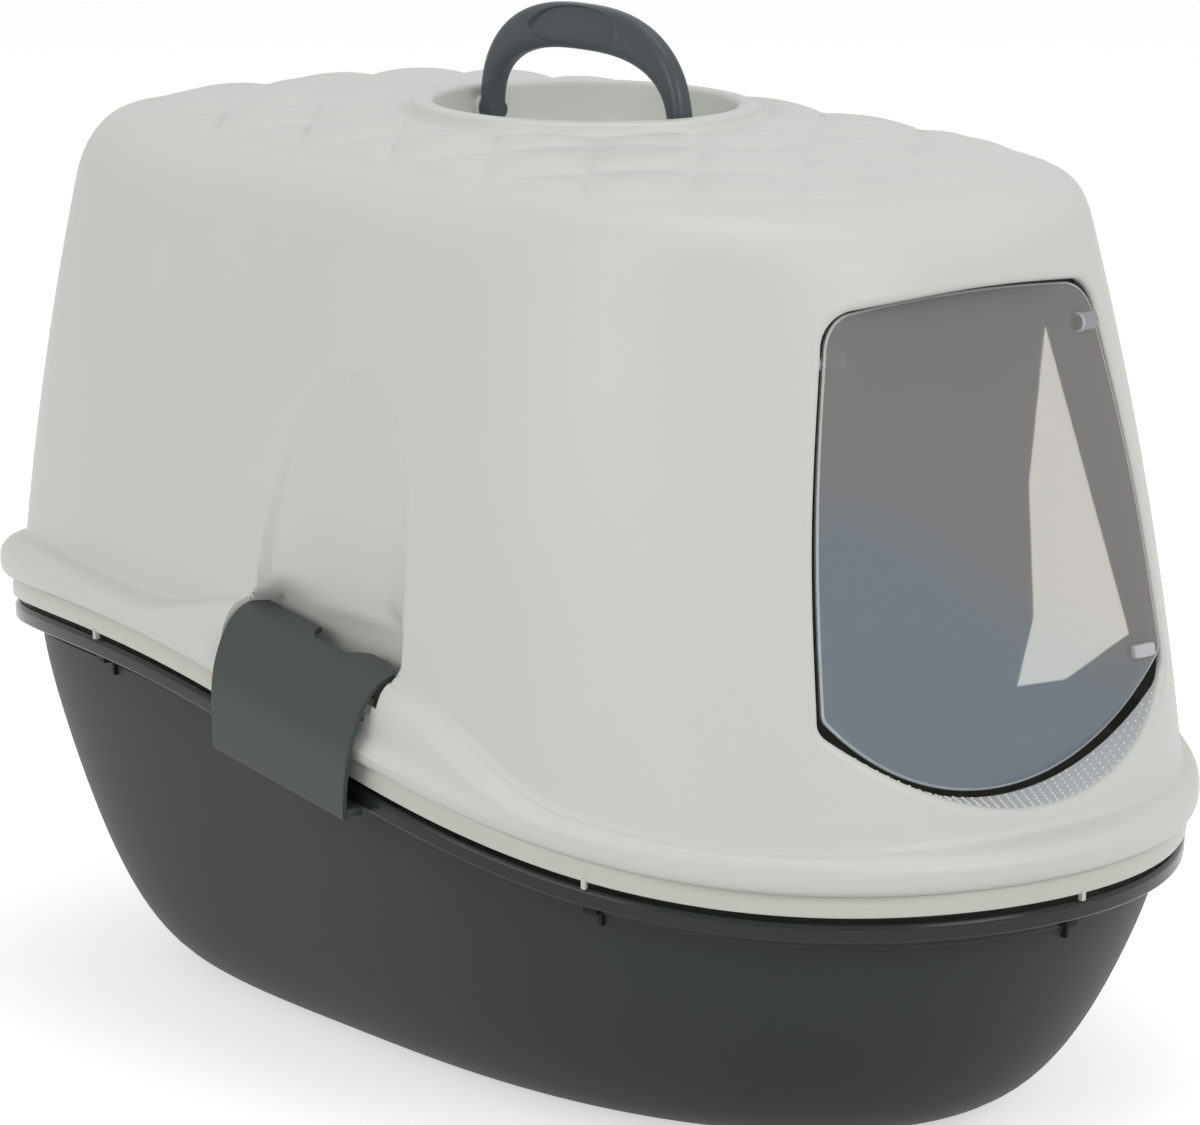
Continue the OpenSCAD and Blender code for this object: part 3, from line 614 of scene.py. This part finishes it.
def window_loop():
    """Row and column of the grid points round the window, anticlockwise from the lower left."""
    cols, rows = np.arange(c0, c1), np.arange(r0, r1)
    return (np.concatenate([0 * cols + r0, rows, 0 * cols + r1, rows[::-1] + 1]),
            np.concatenate([cols, 0 * rows + c1, cols[::-1] + 1, 0 * rows + c0]))


def outline_places():
    """Places along the opening's outline, one for each point of the window's loop: the four
    sides are matched to each other, and the points crowd into the corners."""
    line = door_outline(0.0)
    count = len(line)
    closed = np.concatenate([line, line[:1]])
    step = np.diff(closed, axis=0)
    bend = np.abs(np.angle(np.exp(1j * np.diff(np.unwrap(np.arctan2(step[:, 1], step[:, 0])), prepend=0.0))))
    bend[0] = 0.0
    way = way_along(np.hypot(step[:, 0], step[:, 1]) + 26.0 * np.minimum(bend, 0.2))
    low_mid, top_mid = (int(np.argmin(np.abs(line[:count // 2, 1] - z))) for z in (188.0, 348.0))
    marks = [-low_mid, low_mid, top_mid, count - top_mid, count - low_mid]
    sides = [c1 - c0, r1 - r0, c1 - c0, r1 - r0]
    places = []
    for a, b, n in zip(marks[:-1], marks[1:], sides):
        ends = np.interp([a % count if a < 0 else a, b], np.arange(count + 1), way)
        if a < 0:
            ends[0] -= way[-1]
        places.append(mix(ends[0], ends[1], np.arange(n) / n))
    return np.interp(np.concatenate(places) % way[-1], way, np.arange(count + 1))


loop_r, loop_c = window_loop()
places = outline_places()


def outline_at(grow):
    """x and z of the matched outline points, grown by grow."""
    line = door_outline(grow)
    line = np.concatenate([line, line[:1]])
    index = np.arange(len(line))
    return np.interp(places, index, line[:, 0]), np.interp(places, index, line[:, 1])


def guess_on_hood(x, z):
    """A first guess for place_on_hood: the grid point nearest in x and z."""
    part = skin[r0 - 2:r1 + 3, c0 - 2:c1 + 3]
    gap = (part[None, ..., 0] - x[:, None, None]) ** 2 + (part[None, ..., 2] - z[:, None, None]) ** 2
    near = gap.reshape(len(x), -1).argmin(1)
    return hood_t[c0 - 2 + near % part.shape[1]], hood_s[r0 - 2 + near // part.shape[1]]


def on_hood(grow, off=0.0):
    """Points of the hood's skin under the outline grown by grow, and their t and s."""
    x, z = outline_at(grow)
    t, s = place_on_hood(x, z, off, *guess_on_hood(x, z))
    return hood_skin(t, s, off), t, s


def bridge(low, high):
    """Quads between two rings of point numbers."""
    return np.stack([low, np.roll(low, -1), np.roll(high, -1), high], -1)


def windowed(rows_s, off, start, skipped):
    """The grid of one skin, whose lowest rows are skipped, with the window filled by rungs
    that run from the window's edge to the opening's outline in t and s. Returns points,
    faces and the outline's numbers."""
    w0, w1, loop_w = r0 - skipped, r1 - skipped, loop_r - skipped
    points = hood_skin(hood_t[None, :] + 0 * rows_s[:, None], rows_s[:, None] + 0 * hood_t[None, :], off)
    quads = grid_quads(len(rows_s), HOOD_COLS)
    i, j = np.divmod(np.arange(len(quads)), HOOD_COLS)
    keep = ~((i >= w0) & (i < w1) & (j >= c0) & (j < c1))
    _, t, s = on_hood(FILLET, off)
    share = np.linspace(0, 1, RUNGS + 1)[1:, None] ** 0.8
    rungs = hood_skin(mix(hood_t[loop_c], t, share), mix(rows_s[loop_w], s, share), off)
    loop = loop_w * HOOD_COLS + loop_c
    number = len(rows_s) * HOOD_COLS + np.arange(rungs.shape[0] * rungs.shape[1]).reshape(rungs.shape[:2])
    number = np.concatenate([loop[None, :], number])
    fill = np.concatenate([bridge(low, high) for low, high in zip(number[:-1], number[1:])])
    return [points, rungs], np.concatenate([quads[keep], fill]) + start, number[-1] + start


outer_points, outer_faces, outer_edge = windowed(hood_s, 0.0, 0, 0)
outer_count = sum(p.size // 3 for p in outer_points)
first = int(np.searchsorted(hood_s, 0.4))
inner_s = np.concatenate([hood_s[first:len(rows_bead) + len(rows_wall) + len(rows_eave)], [3.3, 3.6, 4.0]])
inner_points, inner_faces, inner_edge = windowed(inner_s, HOOD_WALL, outer_count, first)
inner_count = sum(p.size // 3 for p in inner_points)
lip_ring = along_rim(hood_t, np.array([(4.9, LIP_Z - 0.3), (8.6, LIP_Z - 0.3), (8.6, LIP_Z + 4.0)]))
cols = np.arange(HOOD_COLS)
lip_start = outer_count + inner_count
lip_rings = [lip_start + k * HOOD_COLS + cols for k in range(3)]
top_outer = (len(hood_s) - 1) * HOOD_COLS + cols
top_inner = outer_count + (len(inner_s) - 1) * HOOD_COLS + cols
hood_faces = [outer_faces, inner_faces[:, ::-1], bridge(outer_edge, inner_edge), bridge(top_outer, top_inner),
              bridge(lip_rings[0], cols), bridge(lip_rings[1], lip_rings[0]),
              bridge(lip_rings[2], lip_rings[1]), bridge(outer_count + cols, lip_rings[2])]
hood_grey = plastic("hood_light_plastic", srgb(214, 215, 210), 0.42, grain=0.10)
hood = new_piece("hood_cover", [*outer_points, *inner_points, lip_ring], hood_faces)
finish(hood, "hood", "hood", hood_grey)
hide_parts("hood_shell")

# ---- Door surround ----
# The jamb of the door, part of the same grey moulding: its front rolls over from the
# hood's face, and its lower half is a sill with rows of small grip dots.
JAMB, JAMB_DEEP, SWING_ROOM = 2.6, 13.0, 1.5
FLAP_Y, FLAP_Z, FLAP_LEAN, FLAP_REACH = -213.0, 331.0, math.radians(9.3), 4.3


def flap_front(z):
    """y of the closed flap's front at height z."""
    return FLAP_Y - FLAP_REACH / math.cos(FLAP_LEAN) - (FLAP_Z - z) * math.tan(FLAP_LEAN)


turns = np.linspace(0, np.pi / 2, 9)[:, None]
grow = FILLET * (1 - np.sin(turns))[:, 0]
roll = np.stack([on_hood(g)[0] for g in grow])
roll[..., 1] += FILLET * (1 - np.cos(turns))
lip_x, lip_z = outline_at(0.0)
face = roll[-1, :, 1] - FILLET
below_top = 1 - ease((lip_z - 343) / 8)
beside = ease((lip_z - 200) / 8) * below_top
jamb_back = mix(np.maximum(flap_front(lip_z) - 1.2, face + FILLET + 1), face + JAMB_DEEP, beside)
shares = np.linspace(0, 1, 7)[1:, None]
swing_room = SWING_ROOM * ease((lip_z - 285) / 20) * below_top * np.minimum(1, 3 * shares)
tunnel = np.stack([lip_x + swing_room * np.sign(lip_x), mix(roll[-1, :, 1], jamb_back, shares),
                   lip_z + 0 * shares], -1)
out_x, out_z = outline_at(JAMB)
edge_x, edge_z = outline_at(FILLET)
behind = np.stack([np.stack([out_x, jamb_back, out_z], -1), np.stack([out_x, face + 3.4, out_z], -1),
                   np.stack([edge_x, roll[0, :, 1] + HOOD_WALL, edge_z], -1)])
rings = np.concatenate([roll, tunnel, behind])
surround = new_piece("door_surround_jamb", [rings],
                     [grid_quads(len(rings), rings.shape[1], close_rows=True)], 50)
sill_grey = plastic("sill_light_plastic", srgb(203, 206, 207), 0.34, grain=0.04)
finish(surround, "hood", "hood", hood_grey, sill_grey)
paint(surround, ((len(roll) - 1) * rings.shape[1], (len(roll) + len(tunnel)) * rings.shape[1], 1))
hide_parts("door_surround")

# Rows of low domes along the sill, every other row shifted by half a pitch. Each dome is
# three rings of eight points about the sill's upright direction.
DOT_R, DOT_PITCH, DOT_ROWS, DOT_STEP, DOT_TOP_Z = 0.62, 4.6, 6, 3.6, 196.0
way = way_along(np.hypot(np.diff(lip_x), np.diff(lip_z)))
feet, rises = [], []
for row in range(DOT_ROWS):
    at = np.arange(DOT_PITCH * (0.25 + 0.5 * (row % 2)), way[-1], DOT_PITCH)
    x, z, y0, y1, up_x, up_z = (np.interp(at, way, v)
                                for v in (lip_x, lip_z, face, jamb_back, *outline_at(-1.0)))
    y = y0 + FILLET + 1.2 + row * DOT_STEP
    keep = (z < DOT_TOP_Z) & (y < y1 - 0.9)
    feet.append(np.stack([x, y, z], -1)[keep])
    rises.append(np.stack([up_x - x, 0 * y, up_z - z], -1)[keep])
feet, rises = (np.concatenate(v)[:, None] for v in (feet, rises))
turn = np.linspace(0, 2 * np.pi, 9)[:-1][None, :, None]
across, along = np.cross(rises, [0.0, 1.0, 0.0]), np.array([0.0, 1.0, 0.0])
dome = [(1.0, -0.15), (0.92, 0.22), (0.55, 0.5)]
rings = np.stack([feet + DOT_R * r * (np.cos(turn) * across + np.sin(turn) * along) + h * rises
                  for r, h in dome], 1)
first_numbers = np.arange(len(feet))[:, None, None] * rings[0].size // 3
dot_faces = [(np.atleast_2d(f)[None] + first_numbers).reshape(-1, np.shape(f)[-1]) for f in capped(rings[0])]
dots = new_piece("sill_grip_dots", [rings], flipped(dot_faces), 80)
dot_white = plastic("dot_light_plastic", srgb(236, 236, 232), 0.4, grain=0.03)
finish(dots, "hood", "hood", dot_white)

# ---- Door flap ----
# A clear sheet with a polished edge, one moulding with the ear at its left top corner,
# the knob at its right one and the stop lug at the lower right. Two pins carry it.
FLAP_T, FLAP_GAP, FLAP_R = 2.0, 1.0, (17.0, 6.0)
TURN_COLS, KNOB_FACE_ROWS = 48, 9
# The flap's painted shade and reflection changes colour across the line z + slant x, swayed a little by
# noise, between these two levels
PAINTED_SHADE_SLANT, PAINTED_SHADE_SWAY, PAINTED_SHADE_LOW_Z, PAINTED_SHADE_HIGH_Z = 0.556, 0.05, 0.235, 0.275


def clear(name, high, low, roughness, transmission):
    """Smoky clear plastic: a low-index glass with some milkiness, whose colour changes from high to low
    across a slanting line, and which lets lamps through to light the inside. Where high and low differ, that
    change is painted shade and reflection, which stands in for the inside seen through the sheet."""
    material, tree, shader = new_material(name)
    place = new_node(tree, "TexCoord").outputs["Object"]
    split = new_node(tree, "SeparateXYZ", Vector=place).outputs
    cloud = new_node(tree, "TexNoise", Vector=place, Scale=9.0, Detail=2.0).outputs["Fac"]
    slant = maths(tree, "MULTIPLY_ADD", split["X"], PAINTED_SHADE_SLANT, split["Z"])
    painted_shade_line = maths(tree, "MULTIPLY_ADD", cloud, PAINTED_SHADE_SWAY, slant)
    level = new_node(tree, "MapRange", Value=painted_shade_line, From_Min=PAINTED_SHADE_LOW_Z, From_Max=PAINTED_SHADE_HIGH_Z)
    tint = new_node(tree, "Mix", Factor=level.outputs["Result"], A=low, B=high)
    wire(tree, shader, Roughness=roughness, IOR=1.45, Transmission_Weight=transmission,
         Base_Color=tint.outputs["Result"])
    open_way = new_node(tree, "BsdfTransparent", Color=(0.85, 0.86, 0.87, 1)).outputs["BSDF"]
    shadow = new_node(tree, "LightPath").outputs["Is Shadow Ray"]
    wire(tree, tree.nodes["Material Output"], Surface=mixed(tree, shadow, shader.outputs["BSDF"], open_way))
    return material


def on_flap(p):
    """Turns points from the flap's own frame (hinge on X, sheet upright) into place."""
    c, s = math.cos(FLAP_LEAN), math.sin(FLAP_LEAN)
    x, y, z = np.moveaxis(np.asarray(p, float), -1, 0)
    return np.stack([x, FLAP_Y + y * c + z * s, FLAP_Z - y * s + z * c], -1)


def flap_half_w(z, r):
    """Half width at height z to the middle of a corner of radius r."""
    return DOOR_HALF_W - DOOR_LEAN * (z - 192) - FLAP_GAP - r


def flap_outline(grow):
    """The flap's outline in its own x and z, grown by grow: low arched top, round corners,
    leaning and slightly bowed sides and a wide lower arc that meets both lower corners."""
    slant = math.atan(DOOR_LEAN)
    top_z, low_z, corner_z = DOOR_TOP_Z - 5.6 - FLAP_R[0], DOOR_LIP_Z + 1.6, 196.0
    top = (flap_half_w(top_z, FLAP_R[0]) - 0.5, top_z)
    low = (flap_half_w(corner_z, FLAP_R[1]), corner_z)
    drop = low_z - corner_z
    r = (low[0] ** 2 + drop ** 2 - FLAP_R[1] ** 2) / (-2 * (FLAP_R[1] + drop))
    a = math.atan2(-drop - r, low[0])
    lower = arc((0, low_z + r), r + grow, -math.pi / 2, a, 44)
    corner = arc(low, FLAP_R[1] + grow, a, slant, 10)
    shoulder = arc(top, FLAP_R[0] + grow, slant, math.pi / 2, 14)
    share = np.linspace(0, 1, 31)[1:-1, None]
    side = mix(corner[-1:], shoulder[:1], share) + DOOR_BOW * np.sin(np.pi * share) * np.array([1, 0])
    k = np.linspace(1, 0, 25)[1:]
    arch = np.stack([k * shoulder[-1, 0], shoulder[-1, 1] + 2.2 * (1 - k ** 2)], -1)
    half = np.concatenate([lower, corner[1:], side, shoulder, arch])
    half[:, 1] = (half[:, 1] - FLAP_Z) / math.cos(FLAP_LEAN)
    return np.concatenate([half, half[1:-1][::-1] * np.array([-1, 1])])


# The sheet's colour is painted shade and reflection: a warm grey above the slanting line and a blue-grey
# below it stand in for the inside seen through the sheet
clear_flap = clear("flap_clear_painted_shade", (0.365, 0.355, 0.345, 1), (0.305, 0.365, 0.415, 1), 0.01, 0.52)
clear_knob = clear("flap_knob_plastic", (0.52, 0.53, 0.54, 1), (0.52, 0.53, 0.54, 1), 0.2, 0.5)
clear_edge = clear("flap_edge_plastic", (0.82, 0.84, 0.85, 1), (0.78, 0.81, 0.83, 1), 0.30, 0.45)
section = [(-3.0, 0.0), (-1.0, 0.0), (-0.35, 0.12), (0.0, 0.5),
           (0.0, FLAP_T - 0.5), (-0.35, FLAP_T - 0.12), (-1.0, FLAP_T), (-3.0, FLAP_T)]
rings = np.stack([np.insert(flap_outline(g), 1, y - FLAP_REACH, axis=1) for g, y in section])
flap = new_piece("flap_sheet", [on_flap(rings)], flipped(capped(rings)), 40)
finish(flap, "flap", "flap", clear_flap, clear_edge)
paint(flap, (rings.shape[1], 3 * rings.shape[1], 1))
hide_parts("door_flap")


def turned(line, centre, axis, cols=TURN_COLS):
    """Rings of a lathe shape: (radius, distance) points turned about an axis."""
    axis = np.asarray(axis, float)
    side = np.cross(axis, [0.0, 0.0, 1.0]) if abs(axis[2]) < 0.9 else np.array([1.0, 0.0, 0.0])
    side = side / np.linalg.norm(side)
    other = np.cross(axis, side)
    a = np.linspace(0, 2 * np.pi, cols + 1)[:-1][None, :, None]
    line = np.asarray(line, float)
    return np.asarray(centre, float) + line[:, None, :1] * (np.cos(a) * side + np.sin(a) * other) \
        + line[:, None, 1:] * axis


ear_x = DOOR_HALF_W - DOOR_LEAN * (FLAP_Z - 192) - 4
lug_x = DOOR_HALF_W - DOOR_LEAN * 8 - 3.0 - 9
lug_z = (195 - FLAP_Z) / math.cos(FLAP_LEAN)
knob = rounded([(2.9, 0.4, 0), (3.2, 0, 0.2), (4.1, 0.0, 0.5), (4.1, 1.0, 0), (4.1, 9.0, 0.5),
                (2.0, 9.0, 0)], 3)
fittings = [soft_block((3.5 - ear_x, 0.1, 0), (7.4, 7.6, 8.6), 0.45),
            turned(knob, (ear_x - 8.5, -4.6, 1.2), (1, 0, 0)),
            soft_block((lug_x + 0.5, -FLAP_REACH - 1.2, lug_z), (12, 3.4, 5.6), 0.35)]
ears = joined("flap_ears_and_lug", [on_flap(block) for block in fittings], 60)
finish(ears, "flap", "flap", clear_edge, clear_flap, clear_knob)

# The ear is as clear as the sheet, and so is the knob behind its polished end
ear_end, knob_end = np.cumsum([sum(len(np.atleast_2d(f)) for f in capped(block)) for block in fittings])[:2]
paint(ears, (0, ear_end, 1), (ear_end + KNOB_FACE_ROWS * TURN_COLS, knob_end, 2))
recolour(clear_edge, "flap_pin_left", "flap_pin_right")

# ---- Handle pocket ----
# An oval cup let into the roof, in the hood's grey, with a raised ring round its edge
# and a boss at each end for the handle's pins.
POCKET_Z, RING_Z, RING_W, HANDLE_Z = 384.0, 406.5, 9.0, 396.0
cup = rounded([(-61.0, POCKET_Z, 0), (-0.8, POCKET_Z, 7.0), (0.0, RING_Z, 3.2),
               (RING_W - 0.4, RING_Z - 0.6, 3.0),
               (RING_W + 0.4, 402.6, 1.6), (RING_W + 3.4, 399.2, 0), (RING_W - 1, 396.5, 0), (2.6, 397.0, 0),
               (2.6, POCKET_Z - 2.6, 0), (-61.0, POCKET_Z - 2.6, 0)], 6)
round_t = np.linspace(0, 2 * np.pi, 193)[:-1]
rings = np.stack([(POCKET[0] + cup[:, :1]) * np.cos(round_t),
                  HANDLE_Y + (POCKET[1] + cup[:, :1]) * np.sin(round_t), cup[:, 1:] + 0 * round_t], -1)
pocket_points, pocket_faces = [rings], flipped(capped(rings))
start = rings.size // 3
for side in (-1, 1):
    boss = turned(rounded([(2.0, -4.4, 0), (5.6, -4.4, 0.9), (5.6, 4.0, 0), (2.0, 4.0, 0)], 4),
                  (0, HANDLE_Y + side * (POCKET[1] + 1.0), HANDLE_Z), (0, side, 0))
    pocket_points.append(boss)
    pocket_faces += capped(boss, start)
    start += boss.size // 3
pocket = new_piece("handle_pocket_cup", pocket_points, pocket_faces, 40)
finish(pocket, "hood", "hood", hood_grey)
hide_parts("handle_pocket")

# ---- Carry handle ----
# A folding arch in dark blue-grey plastic: slim legs, a deeper grip with a bare
# lens-shaped hollow on each side and a dimple in one, and a round foot on each pivot pin.
ARCH_OUT, ARCH_IN, GRIP_W, FOOT_R = (68.0, 52.0), (58.5, 32.0), 10.0, 4.5
handle_dark = plastic("handle_dark_plastic", srgb(74, 80, 84), 0.30, grain=0.08, specular=0.32)
a = np.linspace(0, np.pi, 181)[:, None]
b = np.linspace(0, 2 * np.pi, 121)[None, :-1]
outer, inner = (np.stack([half[0] * power(np.cos(a), 2 / e), half[1] * power(np.sin(a), 2 / e)], -1)
                for half, e in ((ARCH_OUT, 2.5), (ARCH_IN, 2.6)))
up = power(np.sin(b), 2 / 2.9)
wide = power(np.cos(b), 2 / 2.9)
middle = (outer + inner) / 2 + (outer - inner) / 2 * up[..., None]
lens_gap = np.sqrt((middle[..., 0] / 34.0) ** 2 + (up / 0.92) ** 2)
hollow = 2.0 * ease((1 - lens_gap) / 0.08)
dimple = 0.7 * ease(1.6 * (1 - np.hypot((middle[..., 0] + 22) / 3.4, up / 0.42)))
x = (GRIP_W / 2 - np.where(np.abs(wide) > 0.3, hollow + dimple * (wide < 0), 0)) * wide
arch = np.stack([x, HANDLE_Y + middle[..., 0], HANDLE_Z + middle[..., 1]], -1)
leg = ARCH_OUT[0] - ARCH_IN[0] + 0.7
foot_line = rounded([(2.0, -leg / 2, 0), (FOOT_R, -leg / 2, 0.8), (FOOT_R, leg / 2, 0.8),
                     (2.0, leg / 2, 0)], 5)
feet = [turned(foot_line, (0, HANDLE_Y + side * (ARCH_OUT[0] + ARCH_IN[0]) / 2, HANDLE_Z), (0, side, 0))
        for side in (-1, 1)]
grip = joined("carry_handle_arch", [arch, *feet], 40)
finish(grip, "carry_handle", "handle", handle_dark)
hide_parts("handle")
recolour(handle_dark, "handle_pin_front", "handle_pin_rear")

# ---- Side latches ----
# A curved clip plate on each side in dark grey plastic. It turns on a pin that three
# lugs on the recess ledge hold, and its foot hooks under the base rim.
LATCH_X, LATCH_Y, LATCH_Z = 172.0, -18.5, 190.0
LATCH_TILT, LATCH_T, LATCH_FRONT, LATCH_REAR = math.radians(8.3), 2.4, -66.0, 29.0
PLATE, PLATE_C, PLATE_FOOT = (26.6, 38.5), (-0.8, -28.0), -48.4
latch_dark = plastic("latch_dark_plastic", srgb(67, 73, 72), 0.42, grain=0.10, specular=0.32)


def on_side(p, side):
    """Places points of the right latch's own frame (hinge on Y) on the right or left side."""
    c, s = math.cos(LATCH_TILT), math.sin(LATCH_TILT)
    x, y, z = np.moveaxis(np.asarray(p, float), -1, 0)
    return np.stack([side * (LATCH_X + x), LATCH_Y + y * c - z * s, LATCH_Z + y * s + z * c], -1)


def plate_line(way, inset):
    """The plate's outside from its top (way 0) over the shoulder to its foot (way 1): a flat
    start, a quarter superellipse and a leg that turns in, moved in by inset."""
    fine = np.linspace(0, 1, 200)
    q = np.clip((fine - 0.06) / 0.62, 0, 1) * np.pi / 2
    leg = np.clip((fine - 0.68) / 0.32, 0, 1)
    start = np.clip(1 - fine / 0.06, 0, 1)
    x = PLATE_C[0] + (PLATE[0] - inset) * np.sin(q) ** 0.93 - 0.6 * leg ** 2 - 5.6 * start
    z = PLATE_C[1] + (PLATE[1] - inset) * np.cos(q) ** 0.93
    z = mix(z, PLATE_FOOT, leg) - 0.5 * start
    length = way_along(np.hypot(np.diff(x), np.diff(z)))
    at = np.clip(way, 0, 1) * length[-1]
    return np.interp(at, length, x), np.interp(at, length, z)


def latch_plate():
    """The plate's outside and lining in the latch's own frame: one parameter runs along the
    hinge between two upright edges, the other from the top edge to the foot. The top edge
    has a notch over the hinge's middle and a slanted front corner."""
    front, rear = ((edge - LATCH_Y) / math.cos(LATCH_TILT) for edge in (LATCH_FRONT, LATCH_REAR))
    across = np.linspace(0, 1, 161)[None, :]
    y_top = mix(front, rear, across)
    notch = ease((y_top + 25.5) / 8.0) * np.sqrt(np.clip((9.5 - y_top) / 7.0, 0, 1))
    top_x = np.maximum(mix(-6.0, 3.5, notch), 1.5 - (y_top + 48.5) * math.tan(math.radians(30)))
    fine = np.linspace(0, 0.5, 500)
    start = np.interp(top_x, plate_line(fine, 0.0)[0], fine)
    way = mix(start, 1.0, np.linspace(0, 1, 57)[:, None])
    x, z = plate_line(way, 0.0)
    ix, iz = plate_line(way, LATCH_T)
    y = mix(front + 5.0 * ease((way - 0.45) / 0.55), rear + 3.0 * (1 - ease(way / 0.5)), across)
    y = y + z * math.tan(LATCH_TILT)
    return np.stack([x, y, z], -1), np.stack([ix, y, iz], -1)


for side, name in ((-1, "left"), (1, "right")):
    outside, lining = latch_plate()
    rows, cols = outside.shape[:2]
    quads = grid_quads(rows, cols, close_cols=False)
    border = np.concatenate([np.arange(cols), np.arange(1, rows) * cols + cols - 1,
                             (rows - 1) * cols + np.arange(cols - 1)[::-1],
                             np.arange(1, rows - 1)[::-1] * cols])
    points = [on_side(outside, side), on_side(lining, side)]
    faces = [quads[:, ::-1], quads + rows * cols, bridge(border, border + rows * cols)]
    start = 2 * rows * cols
    blocks = [soft_block((18.7, -4.6, PLATE_FOOT + 1.9), (9.4, 89.5, 4.4), 0.12)]
    for low_y, length in ((-37, 15.5), (12.5, 22)):
        barrel = rounded([(2.0, 0, 0), (4.6, 0, 0.6), (4.6, length, 0.6), (2.0, length, 0)], 3)
        blocks += [turned(barrel, (0, low_y, 0), (0, 1, 0), 40),
                   soft_block((1.0, low_y + length / 2, 4.5), (8, length - 1, 9), 0.2)]
    for block in blocks:
        points.append(on_side(block, side))
        faces += capped(block, start)
        start += block.size // 3
    if side < 0:
        faces = flipped(faces)
    clip = new_piece("latch_plate_" + name, points, faces, 40)
    trim = clip.modifiers.new("soft_edges", "BEVEL")
    trim.width = 0.0004
    trim.segments = 2
    trim.limit_method = "ANGLE"
    trim.angle_limit = math.radians(50)
    finish(clip, name + "_latch", "clip", latch_dark)
    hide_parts("latch_" + name)
    recolour(latch_dark, "latch_pin_" + name)
    recolour(hood_grey, "latch_seat_" + name)

# ---- Stage ----
# A pale floor that shows white but keeps the shadow, a soft box on each side and one
# overhead, and a pale studio round it all.
FLOOR_HALF = 9000.0
floor = new_piece("floor", [FLOOR_HALF * np.array([[-1, -1, 0], [1, -1, 0], [1, 1, 0], [-1, 1, 0]])],
                  [np.arange(4)])
floor_white, floor_tree, floor_shader = new_material("floor_white")
wire(floor_tree, floor_shader, Base_Color=(0.80, 0.80, 0.80, 1), Roughness=0.9, Specular_IOR_Level=0.0)


def seen_share(tree):
    """1 for a look from the camera, straight on, mirrored or through clear plastic, and 0
    for light on its way to a surface."""
    path = new_node(tree, "LightPath").outputs
    indirect = maths(tree, "MAXIMUM", path["Is Transmission Ray"], path["Is Glossy Ray"])
    return maths(tree, "MAXIMUM", path["Is Camera Ray"], indirect)


def emission(tree, colour, strength):
    """An emission shader."""
    return new_node(tree, "Emission", Color=colour, Strength=strength).outputs["Emission"]


glow = mixed(floor_tree, seen_share(floor_tree), emission(floor_tree, (1, 1, 1, 1), 0.0),
             emission(floor_tree, (1, 1, 1, 1), 0.56))
floor_sum = floor_tree.nodes.new("ShaderNodeAddShader")
floor_tree.links.new(floor_shader.outputs["BSDF"], floor_sum.inputs[0])
floor_tree.links.new(glow, floor_sum.inputs[1])
wire(floor_tree, floor_tree.nodes["Material Output"], Surface=floor_sum.outputs["Shader"])
floor.data.materials.append(floor_white)


def soft_box(name, place, size, watts, tint):
    """A rectangular area lamp at place, in metres, that faces the middle of the object."""
    lamp = bpy.data.lights.new(name, "AREA")
    lamp.color = tint
    lamp.shape = "RECTANGLE"
    lamp.size, lamp.size_y = size
    lamp.energy = watts
    box = bpy.data.objects.new(name, lamp)
    box.location = place
    box.rotation_euler = (Vector(place) - Vector((0, 0, 0.2))).to_track_quat("Z", "Y").to_euler()
    bpy.context.scene.collection.objects.link(box)


soft_box("left_box", (-2.6, 0.1, 1.1), (1.5, 1.6), 16, (1, 1, 0.97))
soft_box("front_box", (0.3, -2.6, 1.6), (1.4, 1.3), 18, (1, 1, 1))
soft_box("top_box", (0.2, 0.0, 2.4), (1.6, 1.6), 10, (0.95, 0.97, 1.0))

# A small lit card with six corners, tall and narrow, that only the door flap mirrors: it
# stands to the front right, and each corner is (along the card, up) from its middle
CARD_AT, CARD_TURN = (958.0, -1163.0, 297.0), math.radians(225)
CARD = [(-7, 116), (-19, -94), (28, -115), (60, -113), (40, -70), (25, 16)]
corners = [(CARD_AT[0] + a * math.cos(CARD_TURN), CARD_AT[1] + a * math.sin(CARD_TURN), CARD_AT[2] + b)
           for a, b in CARD]
card = new_piece("mirror_card", [corners], [np.arange(len(CARD))])
card_glow, card_tree, _ = new_material("card_glow")
card_light = emission(card_tree, (1.0, 0.98, 0.90, 1), 8.8)
wire(card_tree, card_tree.nodes["Material Output"], Surface=card_light)
card.data.materials.append(card_glow)
card.visible_camera = card.visible_diffuse = card.visible_shadow = False

# The studio's light fades from front to rear; a look from the camera meets a pale grey
world = bpy.data.worlds.new("studio")
bpy.context.scene.world = world
world.use_nodes = True
world_tree = world.node_tree
studio = world_tree.nodes["Background"]
world_place = new_node(world_tree, "TexCoord").outputs["Generated"]
depth_way = new_node(world_tree, "SeparateXYZ", Vector=world_place).outputs["Y"]
fade = new_node(world_tree, "MapRange", Value=depth_way, From_Min=-1.0, To_Min=0.61, To_Max=0.40)
wire(world_tree, studio, Color=(1, 1, 1, 1), Strength=fade.outputs["Result"])
pale = new_node(world_tree, "Background", Color=(0.8, 0.8, 0.8, 1), Strength=1.0)
world_mix = mixed(world_tree, seen_share(world_tree), studio.outputs["Background"],
                  pale.outputs["Background"])
wire(world_tree, world_tree.nodes["World Output"], Surface=world_mix)
